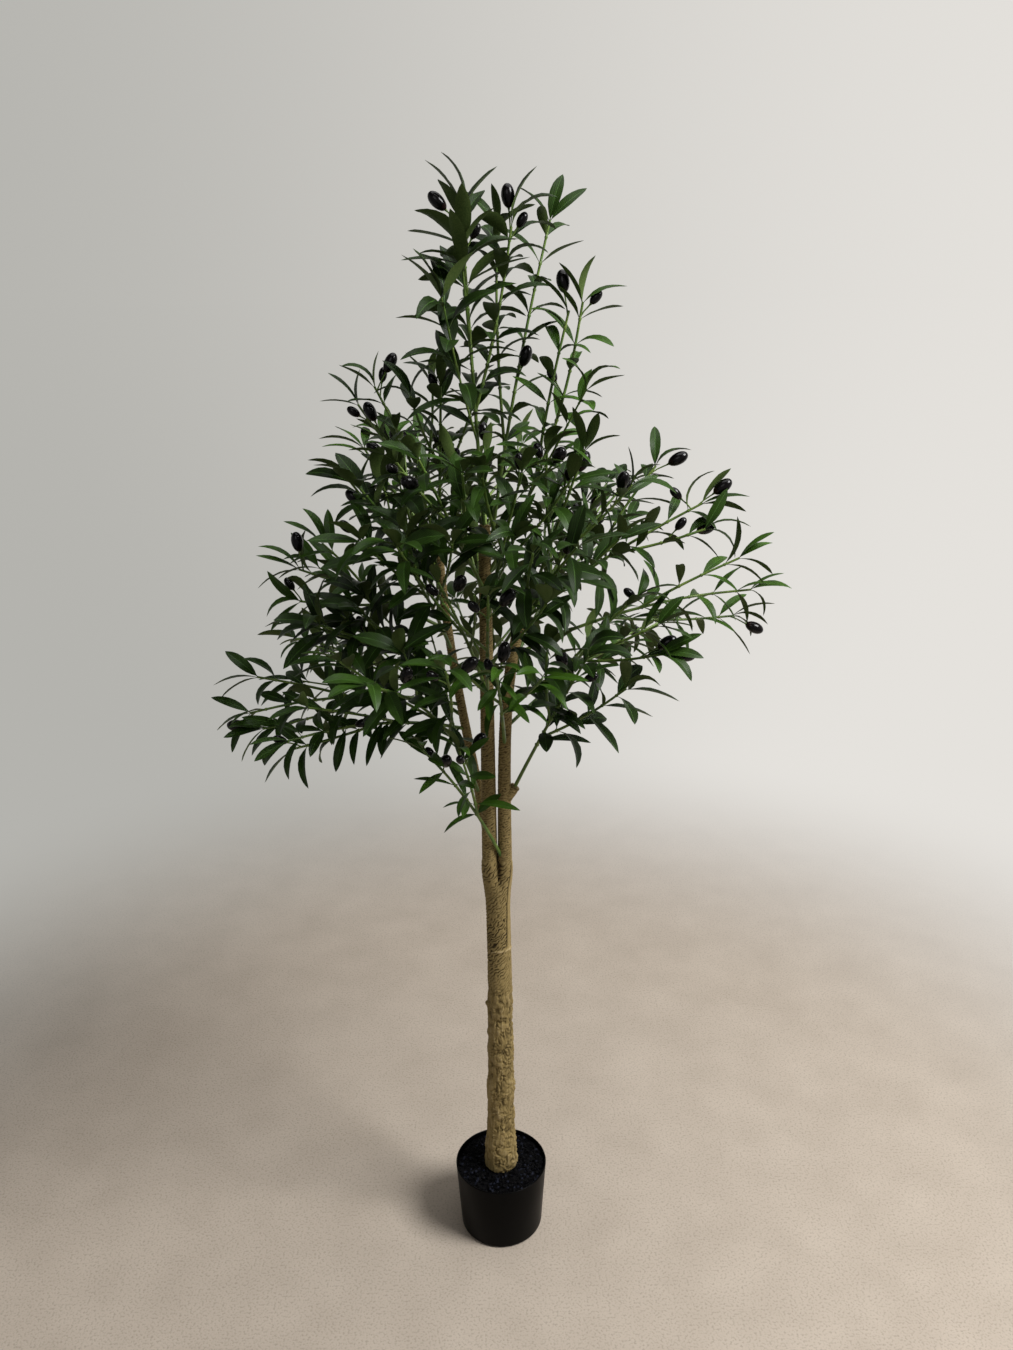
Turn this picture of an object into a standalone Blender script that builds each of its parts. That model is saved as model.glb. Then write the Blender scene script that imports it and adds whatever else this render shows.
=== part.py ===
"""A potted artificial olive tree: one bark-covered trunk, three stems, and plug-in sprays with leaves and olives.

Metres, +Z up. The origin is the middle of the pot's flat underside, and -Y is the tree's front.
Run it with blender --background --python part.py, or from Blender's text editor.
"""

import math
import random
from collections import namedtuple

import bmesh
import bpy
from mathutils import Quaternion, Vector
from mathutils.bvhtree import BVHTree

# Driving dimensions.
TREE_HEIGHT = 1.80
GAP = 0.0003  # between two pieces that touch

POT_HEIGHT = 0.132
POT_TOP_RADIUS = 0.0814
POT_BASE_RADIUS = 0.0733
POT_WALL = 0.0025
POT_FLOOR = 0.004
POT_FOOT_ROUND = 0.006
POT_RIM_ROUND = 0.001
POT_SIDES = 32
POT_FOOT_STEPS = 3
POT_SMOOTH_ANGLE = 35

FILLER_BELOW_RIM = 0.008
FILLER_CROWN = 0.002  # how much higher the filler is in its middle
GROUND = POT_HEIGHT - FILLER_BELOW_RIM + FILLER_CROWN  # where the trunk is cut flat, on the filler

FORK_HEIGHT = 0.742
TRUNK_FOOT_RADIUS = 0.0235
TRUNK_WAIST_RADIUS = 0.0197
TRUNK_WAIST_HEIGHT = 0.58
FLARE_RADIUS = 0.0055  # what the root flare adds at the foot
FLARE_HEIGHT = 0.07
FORK_HALF_WIDTH = 0.0255
FORK_HALF_DEPTH = 0.0200
FORK_SHIFT = 0.0030  # the fork swells backwards, under the left stem
FORK_LENGTH = 0.085
TRUNK_LEAN = 0.0025  # sideways bow, at its most halfway up
TRUNK_SIDES = 14
TRUNK_RINGS = 14

LIMB_SIDES = 9
LIMB_STEPS = 10
BARK_SMOOTH_ANGLE = 50
STUB_LIMB = "right_stem"
STUB_RADIUS = 0.0068
STUB_LENGTH = 0.030
STUB_BEARING = 0
STUB_RISE = 52
STUB_HEIGHT = 0.857

TWIG_SIDES = 3
STEM_RADIUS = 0.0031
TWIG_TIP_RADIUS = 0.0017
STEM_STEPS = 5
SPRIG_STEPS = 3
SPRIG_RADIUS = 0.0024
FIRST_FORK = 0.40  # where the first side sprig leaves the stem, as a share of its length
FORK_STEP = 0.13
SPRIG_SHARE = 0.94  # a side sprig's length, as a share of what is left of the stem
SPRIG_RETURN = 0.45  # how much of its turn a sprig takes back by its tip
SPRIG_JITTER = 6
STEM_BARE = 0.34  # the share of a stem with no leaves, from its root
SPRIG_BARE = 0.15

LEAF_LENGTH = 0.079
LEAF_WIDTH = 0.0190
LEAF_THICKNESS = 0.0018
LEAF_ROOT_WIDTH = 0.0016
LEAF_WIDEST = 0.5  # where along the leaf
LEAF_ROOT_SHARE = 0.3  # the share nearest its twig, which may touch the spray's other leaves
LEAF_ARCH = 0.16
LEAF_SPACING = 0.084
FIRST_PAIR = 0.35  # where a twig's first pair is, as a share of the spacing
LEAF_SIZES = (0.88, 1.12)  # of a pair's leaf, as shares of the length
TIP_LEAF_SIZES = (0.80, 0.95)
LEAF_CLEAR = 0.0012  # from a leaf to anything that isn't its own twig
LEAF_SUNK = 0.004  # how deep a twig's tip leaf is rooted in it
OPEN_AT_BASE = 62  # a leaf's angle off its twig
OPEN_AT_TIP = 32
OPEN_JITTER = 10
NODE_TURN = 75  # from one pair to the next, about the twig
NODE_JITTER = 20
UP_ALONG_TWIG = 0.6  # how much a leaf's upper side faces its twig's tip
UP_DISORDER = 0.4

OLIVE_LENGTH = 0.031
OLIVE_WIDTH = 0.018
SMALL_OLIVE = 0.72
OLIVE_SIDES = 5
OLIVE_RINGS = 3
STALK_LENGTH = 0.030
STALK_RADIUS = 0.0012
STALK_SUNK = 0.2  # in its olive, as a share of the olive's length
STALK_OPEN = 48
STALK_LIFT = 0.4  # how much a stalk turns to the sky
OLIVE_PLACE = 0.80  # along the twig
OLIVE_COUNTS = (1, 2)  # a spray has one of these numbers of olives

LOWEST_LEAF = 0.80
TWIG_CLEAR = 0.0015  # from a side sprig to a limb or another spray's twig
TWIG_SEED = 100
LEAF_SEED = 500

# A limb leans from foot_lean to tip_lean degrees towards its bearing, most of it near the tip.
Limb = namedtuple("Limb", "name x y foot_radius tip_radius length foot_lean tip_lean bearing")
LIMBS = (
    Limb("centre_stem", -0.0115, -0.0045, 0.0122, 0.0088, 0.560, 0, 0, 0),
    Limb("right_stem", 0.0134, -0.0045, 0.0112, 0.0078, 0.450, 0, 20, -5),
    Limb("left_stem", -0.0065, 0.0148, 0.0080, 0.0062, 0.530, 13, 2, 145),
)

# A spray leaves its limb at a height, towards a bearing from +X, and its stem rises at rise + bend degrees at
# first and rise - bend at its tip, over its reach. Its side sprigs fan out to either side, spread degrees off the
# stem, in a plane turned by roll about the stem.
Spray = namedtuple("Spray", "name limb height bearing rise reach bend roll sprigs spread")
SPRAYS = (
    Spray("top_left_spray", "centre_stem", 1.290, -140, 86, 0.44, 0, 50, 1, 24),
    Spray("top_right_spray", "centre_stem", 1.200, 28, 78, 0.53, 4, 65, 1, 14),
    Spray("right_upper_spray", "centre_stem", 1.220, -14, 70, 0.42, -12, 104, 1, 18),
    Spray("right_front_top_spray", "right_stem", 1.130, -45, 66, 0.32, 0, -45, 2, 28),
    Spray("right_spray", "right_stem", 1.165, -3, 33, 0.31, 5, 80, 2, 26),
    Spray("right_long_spray", "right_stem", 1.100, 8, 13, 0.385, 12, -70, 2, 24),
    Spray("right_low_spray", "right_stem", 1.020, -22, 33, 0.28, 5, 60, 2, 22),
    Spray("stub_spray", "stub", 0.877, -50, 58, 0.31, 2, -50, 2, 35),
    Spray("front_spray", "right_stem", 0.950, -93, 43, 0.28, 10, 0, 2, 35),
    Spray("front_upper_spray", "centre_stem", 1.200, -118, 52, 0.28, 0, 0, 2, 30),
    Spray("front_middle_spray", "centre_stem", 1.140, -71, 58, 0.31, 5, 0, 2, 30),
    Spray("front_right_spray", "centre_stem", 1.070, -62, 44, 0.36, 5, 0, 2, 30),
    Spray("front_centre_spray", "centre_stem", 1.010, -88, 48, 0.33, 5, 0, 2, 32),
    Spray("inner_left_spray", "centre_stem", 1.040, -112, 53, 0.27, 5, 0, 2, 30),
    Spray("left_top_spray", "left_stem", 1.250, -79, 74, 0.26, 0, 0, 2, 30),
    Spray("left_upper_spray", "left_stem", 1.220, 180, 72, 0.29, 10, 90, 2, 25),
    Spray("left_front_upper_spray", "left_stem", 1.160, -129, 51, 0.27, 5, 0, 2, 30),
    Spray("left_inner_spray", "left_stem", 1.090, -103, 42, 0.33, 5, 0, 2, 30),
    Spray("left_spray", "left_stem", 1.120, -172, 26, 0.25, 5, -80, 2, 25),
    Spray("left_front_spray", "left_stem", 1.040, -144, 30, 0.27, 5, 20, 2, 28),
    Spray("left_long_spray", "left_stem", 1.000, -162, 5, 0.335, 14, -70, 2, 20),
    Spray("left_low_spray", "left_stem", 0.960, -143, 11, 0.32, 13, 60, 2, 20),
    Spray("front_low_spray", "left_stem", 0.850, -118, 44, 0.42, 22, 0, 2, 28),
    Spray("fork_spray", "right_stem", 0.742, -137, 57, 0.30, 8, 0, 1, 25),
    Spray("back_top_spray", "centre_stem", 1.200, 90, 38, 0.33, 5, 0, 2, 28),
    Spray("back_right_upper_spray", "right_stem", 1.120, 45, 46, 0.30, 5, 0, 2, 28),
    Spray("back_right_spray", "right_stem", 1.080, 60, 32, 0.37, 8, 20, 2, 28),
    Spray("back_left_spray", "left_stem", 1.190, 120, 48, 0.28, 5, 0, 2, 28),
    Spray("back_spray", "centre_stem", 1.100, 95, 32, 0.40, 8, -20, 2, 28),
    Spray("back_low_left_spray", "left_stem", 0.980, 145, 12, 0.34, 10, 20, 2, 25),
    Spray("back_low_right_spray", "right_stem", 0.980, 45, 14, 0.38, 10, -20, 2, 25),
    Spray("back_low_spray", "centre_stem", 0.960, 88, 24, 0.36, 10, 0, 2, 28),
)

# Colours, linear.
BLACK_PLASTIC = (0.010, 0.010, 0.011)
BLACK_FILLER = (0.012, 0.012, 0.014)
BARK = (0.225, 0.165, 0.075)
LEAF_GREEN = (0.020, 0.062, 0.018)
TWIG_GREEN = (0.075, 0.125, 0.030)
OLIVE_BLACK = (0.008, 0.004, 0.006)

UP = Vector((0, 0, 1))


def aim(bearing, rise):
    """The unit vector that points rise degrees above level, at a bearing from +X."""
    bearing, rise = math.radians(bearing), math.radians(rise)
    return Vector((math.cos(bearing) * math.cos(rise), math.sin(bearing) * math.cos(rise), math.sin(rise)))


def turned(vector, axis, degrees):
    return Quaternion(axis, math.radians(degrees)) @ vector


def mix(first, last, share):
    return first + (last - first) * share


def ease(share):
    """From 0 to 1 with level ends."""
    share = min(max(share, 0.0), 1.0)
    return share * share * (3 - 2 * share)


# Meshes.


def material(name, colour, roughness):
    made = bpy.data.materials.new(name)
    made.use_nodes = True
    shader = made.node_tree.nodes["Principled BSDF"]
    shader.inputs["Base Color"].default_value = (*colour, 1)
    shader.inputs["Roughness"].default_value = roughness
    return made


def add_object(name, shape, finish, smooth_angle=0):
    """An object from a (points, faces) shape. With a smooth angle, only edges sharper than it stay sharp."""
    points, faces = shape
    mesh = bpy.data.meshes.new(name)
    mesh.from_pydata([tuple(point) for point in points], [], faces)
    mesh.materials.append(finish)
    if smooth_angle:
        mesh.shade_smooth()
        mesh.set_sharp_from_angle(angle=math.radians(smooth_angle))
    made = bpy.data.objects.new(name, mesh)
    bpy.context.scene.collection.objects.link(made)
    return made


def loft(rings):
    """A closed (points, faces) shape through rings of points that run anticlockwise seen from its far end."""
    sides = len(rings[0])
    points = [point for ring in rings for point in ring]
    faces = [tuple(reversed(range(sides)))]
    for low in range(0, len(points) - sides, sides):
        for side in range(sides):
            after = (side + 1) % sides
            faces.append((low + side, low + after, low + sides + after, low + sides + side))
    faces.append(tuple(range(len(points) - sides, len(points))))
    return points, faces


def tangents(path):
    """The direction of a path at each of its points."""
    last = len(path) - 1
    return [(path[min(i + 1, last)] - path[max(i - 1, 0)]).normalized() for i in range(last + 1)]


def tube(path, radii, sides):
    """A closed tube along a path, whose rings keep square to it without twisting."""
    rings = []
    across = None
    for point, along, radius in zip(path, tangents(path), radii):
        if across is None:
            across = along.orthogonal()
        across = (across - along * across.dot(along)).normalized()
        rings.append([point + turned(across, along, 360 * side / sides) * radius for side in range(sides)])
    return loft(rings)


def level_foot(shape, sides, height):
    """Slides the first ring's points of an upright tube up or down to one height."""
    for point in shape[0][:sides]:
        point.z = height
    return shape


def surface(shapes):
    """A search tree over one or more shapes."""
    points, faces = [], []
    for shape_points, shape_faces in shapes:
        faces += [tuple(index + len(points) for index in face) for face in shape_faces]
        points += shape_points
    return BVHTree.FromPolygons(points, faces)


def fuse(base, parts):
    """Joins the parts to the base by one Boolean union, applies it, and removes the parts."""
    group = bpy.data.collections.new(base.name + "_parts")
    for part in parts:
        group.objects.link(part)
    union = base.modifiers.new("Union", "BOOLEAN")
    union.operation = "UNION"
    union.operand_type = "COLLECTION"
    union.collection = group
    union.solver = "EXACT"
    union.material_mode = "TRANSFER"
    graph = bpy.context.evaluated_depsgraph_get()
    joined = bpy.data.meshes.new_from_object(base.evaluated_get(graph), depsgraph=graph)
    joined.name = base.name
    base.modifiers.clear()
    base.data = joined
    for part in parts:
        bpy.data.objects.remove(part)
    bpy.data.collections.remove(group)
    keep_largest(joined)


def keep_largest(mesh):
    """Drops loose scraps and fills sealed hollows: only the outer skin of the largest body stays."""
    shape = bmesh.new()
    shape.from_mesh(mesh)
    left = set(shape.verts)
    bodies = []
    while left:
        body, edge = set(), [left.pop()]
        while edge:
            vert = edge.pop()
            body.add(vert)
            for link in vert.link_edges:
                other = link.other_vert(vert)
                if other in left:
                    left.discard(other)
                    edge.append(other)
        bodies.append(body)
    keep = max(bodies, key=len)
    bmesh.ops.delete(shape, geom=[vert for vert in shape.verts if vert not in keep], context="VERTS")
    shape.to_mesh(mesh)
    shape.free()


# The pot, its filler and the trunk.


def pot_profile():
    """The wall's outline as (radius, height), from the middle of the underside round to the middle of the floor."""
    profile = [(0.0, 0.0)]
    for step in range(POT_FOOT_STEPS + 1):
        turn = math.radians(90 * step / POT_FOOT_STEPS)
        out = POT_BASE_RADIUS - POT_FOOT_ROUND * (1 - math.sin(turn))
        profile.append((out, POT_FOOT_ROUND * (1 - math.cos(turn))))
    profile.append((POT_TOP_RADIUS, POT_HEIGHT - POT_RIM_ROUND))
    profile.append((POT_TOP_RADIUS - POT_RIM_ROUND, POT_HEIGHT))
    profile.append((POT_TOP_RADIUS - POT_WALL, POT_HEIGHT))
    profile.append((POT_BASE_RADIUS - POT_WALL, POT_FLOOR))
    profile.append((0.0, POT_FLOOR))
    return profile


def spun(name, profile, finish):
    """An object turned about +Z from a (radius, height) outline that starts and ends on the axis."""
    shape = bmesh.new()
    verts = [shape.verts.new((radius, 0, height)) for radius, height in profile]
    edges = [shape.edges.new(pair) for pair in zip(verts, verts[1:])]
    bmesh.ops.spin(
        shape, geom=verts + edges, axis=UP, cent=(0, 0, 0), steps=POT_SIDES, angle=math.tau, use_merge=True
    )
    bmesh.ops.remove_doubles(shape, verts=shape.verts, dist=1e-6)
    bmesh.ops.recalc_face_normals(shape, faces=shape.faces)
    mesh = bpy.data.meshes.new(name)
    shape.to_mesh(mesh)
    shape.free()
    mesh.materials.append(finish)
    mesh.shade_smooth()
    mesh.set_sharp_from_angle(angle=math.radians(POT_SMOOTH_ANGLE))
    made = bpy.data.objects.new(name, mesh)
    bpy.context.scene.collection.objects.link(made)
    return made


def pot_inner_radius(height):
    return mix(POT_BASE_RADIUS, POT_TOP_RADIUS, height / POT_HEIGHT) - POT_WALL


def add_pot():
    spun("pot", pot_profile(), material("black_polypropylene", BLACK_PLASTIC, 0.35))


def add_filler():
    """The block that weighs the pot down, with its crumbly top. It fills the pot and stands on its floor."""
    floor = POT_FLOOR + GAP
    edge = POT_HEIGHT - FILLER_BELOW_RIM
    top = GROUND - GAP
    clear = 2 * GAP / math.cos(math.pi / POT_SIDES)
    profile = [
        (0.0, floor),
        (pot_inner_radius(floor) - clear, floor),
        (pot_inner_radius(edge) - clear, edge),
        (FLARE_RADIUS + 2 * TRUNK_FOOT_RADIUS, top),
        (0.0, top),
    ]
    spun("filler", profile, material("black_foam_crumb", BLACK_FILLER, 0.9))


def trunk_ring(height):
    """The trunk's oval outline at a height: a straight taper, a root flare and a swelling under the fork."""
    share = (height - GROUND) / (TRUNK_WAIST_HEIGHT - GROUND)
    radius = mix(TRUNK_FOOT_RADIUS, TRUNK_WAIST_RADIUS, min(share, 1.0))
    radius += FLARE_RADIUS * math.exp(-(((height - GROUND) / FLARE_HEIGHT) ** 2))
    swell = ease((height - FORK_HEIGHT + FORK_LENGTH) / FORK_LENGTH)
    wide = mix(radius, FORK_HALF_WIDTH, swell)
    deep = mix(radius, FORK_HALF_DEPTH, swell)
    bow = TRUNK_LEAN * math.sin(math.pi * (height - GROUND) / (FORK_HEIGHT - GROUND))
    ring = []
    for side in range(TRUNK_SIDES):
        turn = math.tau * side / TRUNK_SIDES
        ring.append(Vector((bow + wide * math.cos(turn), FORK_SHIFT * swell + deep * math.sin(turn), height)))
    return ring


def trunk_shape():
    return loft([trunk_ring(mix(GROUND, FORK_HEIGHT, ring / TRUNK_RINGS)) for ring in range(TRUNK_RINGS + 1)])


# The stems.


def limb_path(limb):
    path = [Vector((limb.x, limb.y, FORK_HEIGHT + GAP))]
    for step in range(LIMB_STEPS):
        share = (step + 0.5) / LIMB_STEPS
        lean = mix(limb.foot_lean, limb.tip_lean, share**3)
        path.append(path[-1] + aim(limb.bearing, 90 - lean) * (limb.length / LIMB_STEPS))
    return path


def limb_shape(limb):
    path = limb_path(limb)
    radii = [mix(limb.foot_radius, limb.tip_radius, step / LIMB_STEPS) for step in range(LIMB_STEPS + 1)]
    return level_foot(tube(path, radii, LIMB_SIDES), LIMB_SIDES, FORK_HEIGHT + GAP)


def stub_path(path):
    """The short side stub low on the right stem, from the stem's middle outwards."""
    root = point_at_height(path, STUB_HEIGHT)
    return [root, root + aim(STUB_BEARING, STUB_RISE) * STUB_LENGTH]


def point_at_height(path, height):
    """The point of an upright path at a height, or its end if it stops lower."""
    for low, high in zip(path, path[1:]):
        if high.z >= height:
            return low.lerp(high, (height - low.z) / (high.z - low.z))
    return path[-1].copy()


# The sprays. One rule grows them all, from the row and from two random streams: one for twigs, one for leaves.


def spray_side(spray, along):
    """Across the fan, square to the stem."""
    level = aim(spray.bearing + 90, 0)
    return turned((level - along * level.dot(along)).normalized(), along, spray.roll)


def stem_path(spray, root):
    path = [root]
    for step in range(STEM_STEPS):
        share = (step + 0.5) / STEM_STEPS
        rise = spray.rise + spray.bend * (1 - 2 * share)
        path.append(path[-1] + aim(spray.bearing, rise) * (spray.reach / STEM_STEPS))
    return path


def sprig_path(spray, stem, number, chance):
    """A side sprig: it leaves the stem at its fork, turned off it, and then bends back towards the stem's course."""
    fork = FIRST_FORK + FORK_STEP * number
    at = fork * STEM_STEPS
    root = stem[int(at)].lerp(stem[int(at) + 1], at - int(at))
    along = tangents(stem)[int(at)]
    side = spray_side(spray, along)
    hinge = along.cross(side)
    spread = spray.spread * (1 if number % 2 == 0 else -1) + chance.uniform(-SPRIG_JITTER, SPRIG_JITTER)
    lift = chance.uniform(-SPRIG_JITTER, SPRIG_JITTER)
    length = spray.reach * (1 - fork) * SPRIG_SHARE
    path = [root]
    for step in range(SPRIG_STEPS):
        share = (step + 0.5) / SPRIG_STEPS
        turn = spread * (1 - SPRIG_RETURN * share)
        heading = turned(turned(along, hinge, turn), side, lift)
        path.append(path[-1] + heading * (length / SPRIG_STEPS))
    return path


def seat(path, limb_surface, radius):
    """Cuts the path's inner end back to where a twig round it starts GAP clear of the limb it is plugged into."""
    along = (path[1] - path[0]).normalized()
    rim = [point - path[0] for point in tube(path[:2], (radius, radius), TWIG_SIDES)[0][:TWIG_SIDES]]
    rim += [low.lerp(high, share) for low, high in zip(rim, rim[1:] + rim[:1]) for share in (0.25, 0.5, 0.75)]

    def is_clear(reach):
        for offset in rim:
            point = path[0] + along * reach + offset
            near, normal, _, distance = limb_surface.find_nearest(point)
            if (point - near).dot(normal) < 0 or distance < GAP:
                return False
        return True

    inside, outside = 0.0, (path[1] - path[0]).length
    while not is_clear(outside):
        outside += radius
    for _ in range(20):
        middle = (inside + outside) / 2
        if is_clear(middle):
            outside = middle
        else:
            inside = middle
    start = path[0] + along * outside
    later = [point for point in path[1:] if (point - path[0]).dot(along) > outside + radius]
    return [start] + later


def leaf_shape(root, along, up, length, width, grow=0.0):
    """A leaf of eight faces: a root edge, the widest pair, a raised midrib point, and a tip that hangs over."""
    across = along.cross(up).normalized()
    belly = root + along * length * LEAF_WIDEST + up * length * LEAF_ARCH * 0.5
    tip = root + along * (length + grow) - up * length * LEAF_ARCH * 0.5
    half, root_half = width / 2 + grow, LEAF_ROOT_WIDTH / 2 + grow
    points = [
        root - across * root_half - up * grow,
        root + across * root_half - up * grow,
        belly - across * half - up * grow,
        belly + across * half - up * grow,
        belly + up * (LEAF_THICKNESS + grow),
        tip,
    ]
    faces = [(0, 2, 3, 1), (2, 5, 3), (0, 1, 4), (0, 4, 2), (1, 3, 4), (2, 4, 5), (3, 5, 4)]
    return points, faces


def olive_shape(centre, along, length, width):
    across = along.orthogonal().normalized()
    points = [centre - along * length / 2]
    for ring in range(1, OLIVE_RINGS + 1):
        turn = math.pi * ring / (OLIVE_RINGS + 1)
        middle = centre - along * length / 2 * math.cos(turn)
        for side in range(OLIVE_SIDES):
            out = turned(across, along, 360 * side / OLIVE_SIDES)
            points.append(middle + out * width / 2 * math.sin(turn))
    points.append(centre + along * length / 2)
    faces = []
    last = len(points) - 1
    for side in range(OLIVE_SIDES):
        after = (side + 1) % OLIVE_SIDES
        faces.append((0, 1 + after, 1 + side))
        for ring in range(OLIVE_RINGS - 1):
            low = 1 + ring * OLIVE_SIDES
            high = low + OLIVE_SIDES
            faces.append((low + side, low + after, high + after, high + side))
        low = last - OLIVE_SIDES
        faces.append((low + side, low + after, last))
    return points, faces


def twig_shape(path, foot_radius):
    last = len(path) - 1
    radii = [mix(foot_radius, TWIG_TIP_RADIUS, step / last) for step in range(last + 1)]
    return tube(path, radii, TWIG_SIDES)


def lay_twigs(paths, limbs):
    """Every spray's twigs, as lists of (path, bare share, shape): its stem, then the side sprigs that find room."""
    stems = []
    for spray in SPRAYS:
        root = point_at_height(paths[spray.limb], spray.height)
        stems.append(stem_path(spray, root))
    twigs = []
    for spray, stem in zip(SPRAYS, stems):
        seated = seat(stem, limbs, STEM_RADIUS)
        twigs.append([(seated, STEM_BARE, twig_shape(seated, STEM_RADIUS))])
    for number, spray in enumerate(SPRAYS):
        chance = random.Random(TWIG_SEED + number)
        for side in range(spray.sprigs):
            path = sprig_path(spray, stems[number], side, chance)
            shape = twig_shape(path, SPRIG_RADIUS)
            laid = [twig[2] for other, own in enumerate(twigs) if other != number for twig in own]
            if hits(shape, [limbs, surface(laid)], TWIG_CLEAR):
                continue
            twigs[number].append((path, SPRIG_BARE, shape))
    return twigs


def olive_pair(spray, path, chance):
    """A large and a small olive on stalks, either side of a twig near its tip: (stalk shape, olive shape) each."""
    at = OLIVE_PLACE * (len(path) - 1)
    root = path[int(at)].lerp(path[int(at) + 1], at - int(at))
    heading = tangents(path)[int(at)]
    side = turned(spray_side(spray, heading), heading, chance.uniform(0, 360))
    pair = []
    for sign, size in ((1, 1.0), (-1, SMALL_OLIVE)):
        opening = STALK_OPEN + chance.uniform(-OPEN_JITTER, OPEN_JITTER)
        along = turned(heading, heading.cross(side * sign), opening)
        along = (along + UP * STALK_LIFT).normalized()
        end = root + along * STALK_LENGTH * size
        sunk_end = end + along * OLIVE_LENGTH * size * STALK_SUNK
        stalk = tube([root, sunk_end], (STALK_RADIUS, STALK_RADIUS), TWIG_SIDES)
        centre = end + along * OLIVE_LENGTH * size / 2
        pair.append((stalk, olive_shape(centre, along, OLIVE_LENGTH * size, OLIVE_WIDTH * size)))
    return pair


def hits(shape, others, clear):
    """Whether a shape crosses one of the other surfaces, or has a corner nearer to it than clear."""
    tree = surface([shape])
    for other in others:
        if tree.overlap(other) or any(other.find_nearest(point, clear)[0] is not None for point in shape[0]):
            return True
    return False


def twig_nodes(path, leafy_from, spacing):
    """Where leaf pairs sit on a twig: (point, direction, share of the leafy stretch)."""
    lengths = [0.0]
    for low, high in zip(path, path[1:]):
        lengths.append(lengths[-1] + (high - low).length)
    whole = lengths[-1]
    first = whole * leafy_from
    count = max(1, round((whole - first) / spacing))
    headings = tangents(path)
    nodes = []
    for number in range(count):
        at = first + (whole - first) * (number + FIRST_PAIR) / count
        segment = next(i for i in range(len(path) - 1) if lengths[i + 1] >= at)
        share = (at - lengths[segment]) / (lengths[segment + 1] - lengths[segment])
        nodes.append((path[segment].lerp(path[segment + 1], share), headings[segment], number / count))
    return nodes


def leaf_up(along, heading, chance):
    """The leaf's upper side faces the sky and the twig's tip, with some disorder."""
    disorder = Vector([chance.uniform(-UP_DISORDER, UP_DISORDER) for _ in range(3)])
    rough = UP + heading * UP_ALONG_TWIG + disorder
    return (rough - along * rough.dot(along)).normalized()


def twig_leaves(spray, path, leafy_from, chance):
    """One twig's leaves, as (root, direction, upper side, size): opposite pairs, then one at the tip."""
    leaves = []
    turn = chance.uniform(-NODE_TURN, NODE_TURN)
    for point, heading, share in twig_nodes(path, leafy_from, LEAF_SPACING):
        side = turned(spray_side(spray, heading), heading, turn)
        turn += NODE_TURN + chance.uniform(-NODE_JITTER, NODE_JITTER)
        for sign in (1, -1):
            opening = mix(OPEN_AT_BASE, OPEN_AT_TIP, share) + chance.uniform(-OPEN_JITTER, OPEN_JITTER)
            along = turned(heading, heading.cross(side * sign), opening)
            leaves.append((point, along, leaf_up(along, heading, chance), chance.uniform(*LEAF_SIZES)))
    tip, heading = path[-1], tangents(path)[-1]
    along = turned(heading, spray_side(spray, heading), chance.uniform(-OPEN_JITTER, OPEN_JITTER))
    root = tip - heading * LEAF_SUNK
    leaves.append((root, along, leaf_up(along, heading, chance), chance.uniform(*TIP_LEAF_SIZES)))
    return leaves


def inside_crown(shape):
    return all(LOWEST_LEAF < point.z < TREE_HEIGHT for point in shape[0])


# The tree.


def add_stems(bark):
    """Adds the three stems. It returns each limb's centre line by name, and one surface over trunk and stems."""
    paths = {}
    shapes = [trunk_shape()]
    for limb in LIMBS:
        paths[limb.name] = limb_path(limb)
        shapes.append(limb_shape(limb))
        made = add_object(limb.name, shapes[-1], bark, BARK_SMOOTH_ANGLE)
        if limb.name == STUB_LIMB:
            paths["stub"] = stub_path(paths[limb.name])
            shapes.append(tube(paths["stub"], (STUB_RADIUS, STUB_RADIUS), LIMB_SIDES))
            fuse(made, [add_object("stub", shapes[-1], bark)])
    return paths, surface(shapes)


def spray_parts(spray, own, others, chance):
    """The shapes fused to a spray's twigs, as (kind, shape): olives first, then every leaf that finds room."""
    parts, outer_leaves = [], []
    olives_wanted = chance.choice(OLIVE_COUNTS)
    for stalk, olive in olive_pair(spray, own[0][0], chance)[:olives_wanted]:
        if inside_crown(olive) and not hits(stalk, others, LEAF_CLEAR) and not hits(olive, others, LEAF_CLEAR):
            parts += [("stalk", stalk), ("olive", olive)]
            outer_leaves.append(surface([olive]))
    for path, bare, _ in own:
        for root, along, up, size in twig_leaves(spray, path, bare, chance):
            length, width = LEAF_LENGTH * size, LEAF_WIDTH * size
            leaf = leaf_shape(root, along, up, length, width)
            past_root = root + along * length * LEAF_ROOT_SHARE
            outer = leaf_shape(past_root, along, up, length * (1 - LEAF_ROOT_SHARE), width)
            crowded = hits(leaf_shape(root, along, up, length, width, LEAF_CLEAR), others, LEAF_CLEAR)
            if crowded or not inside_crown(leaf) or hits(outer, outer_leaves, 0):
                continue
            outer_leaves.append(surface([outer]))
            parts.append(("leaf", leaf))
    return parts


def add_sprays(paths, limbs):
    """Adds every spray as one fused solid. A leaf keeps clear of the limbs and of all other sprays."""
    finishes = {
        "twig": material("green_polyethylene", TWIG_GREEN, 0.45),
        "leaf": material("printed_leaf_cloth", LEAF_GREEN, 0.5),
        "olive": material("glossy_black_olive", OLIVE_BLACK, 0.12),
    }
    finishes["stalk"] = finishes["twig"]
    twigs = lay_twigs(paths, limbs)
    twig_surfaces = [surface([shape for _, _, shape in own]) for own in twigs]
    finished = []
    for number, (spray, own) in enumerate(zip(SPRAYS, twigs)):
        others = [limbs] + twig_surfaces[:number] + twig_surfaces[number + 1 :] + finished
        parts = spray_parts(spray, own, others, random.Random(LEAF_SEED + number))
        finished.append(surface([shape for _, shape in parts]))
        stem, *sprigs = [shape for _, _, shape in own]
        parts += [("twig", shape) for shape in sprigs]
        base = add_object(spray.name, stem, finishes["twig"])
        fuse(base, [add_object(kind, shape, finishes[kind]) for kind, shape in parts])


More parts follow.
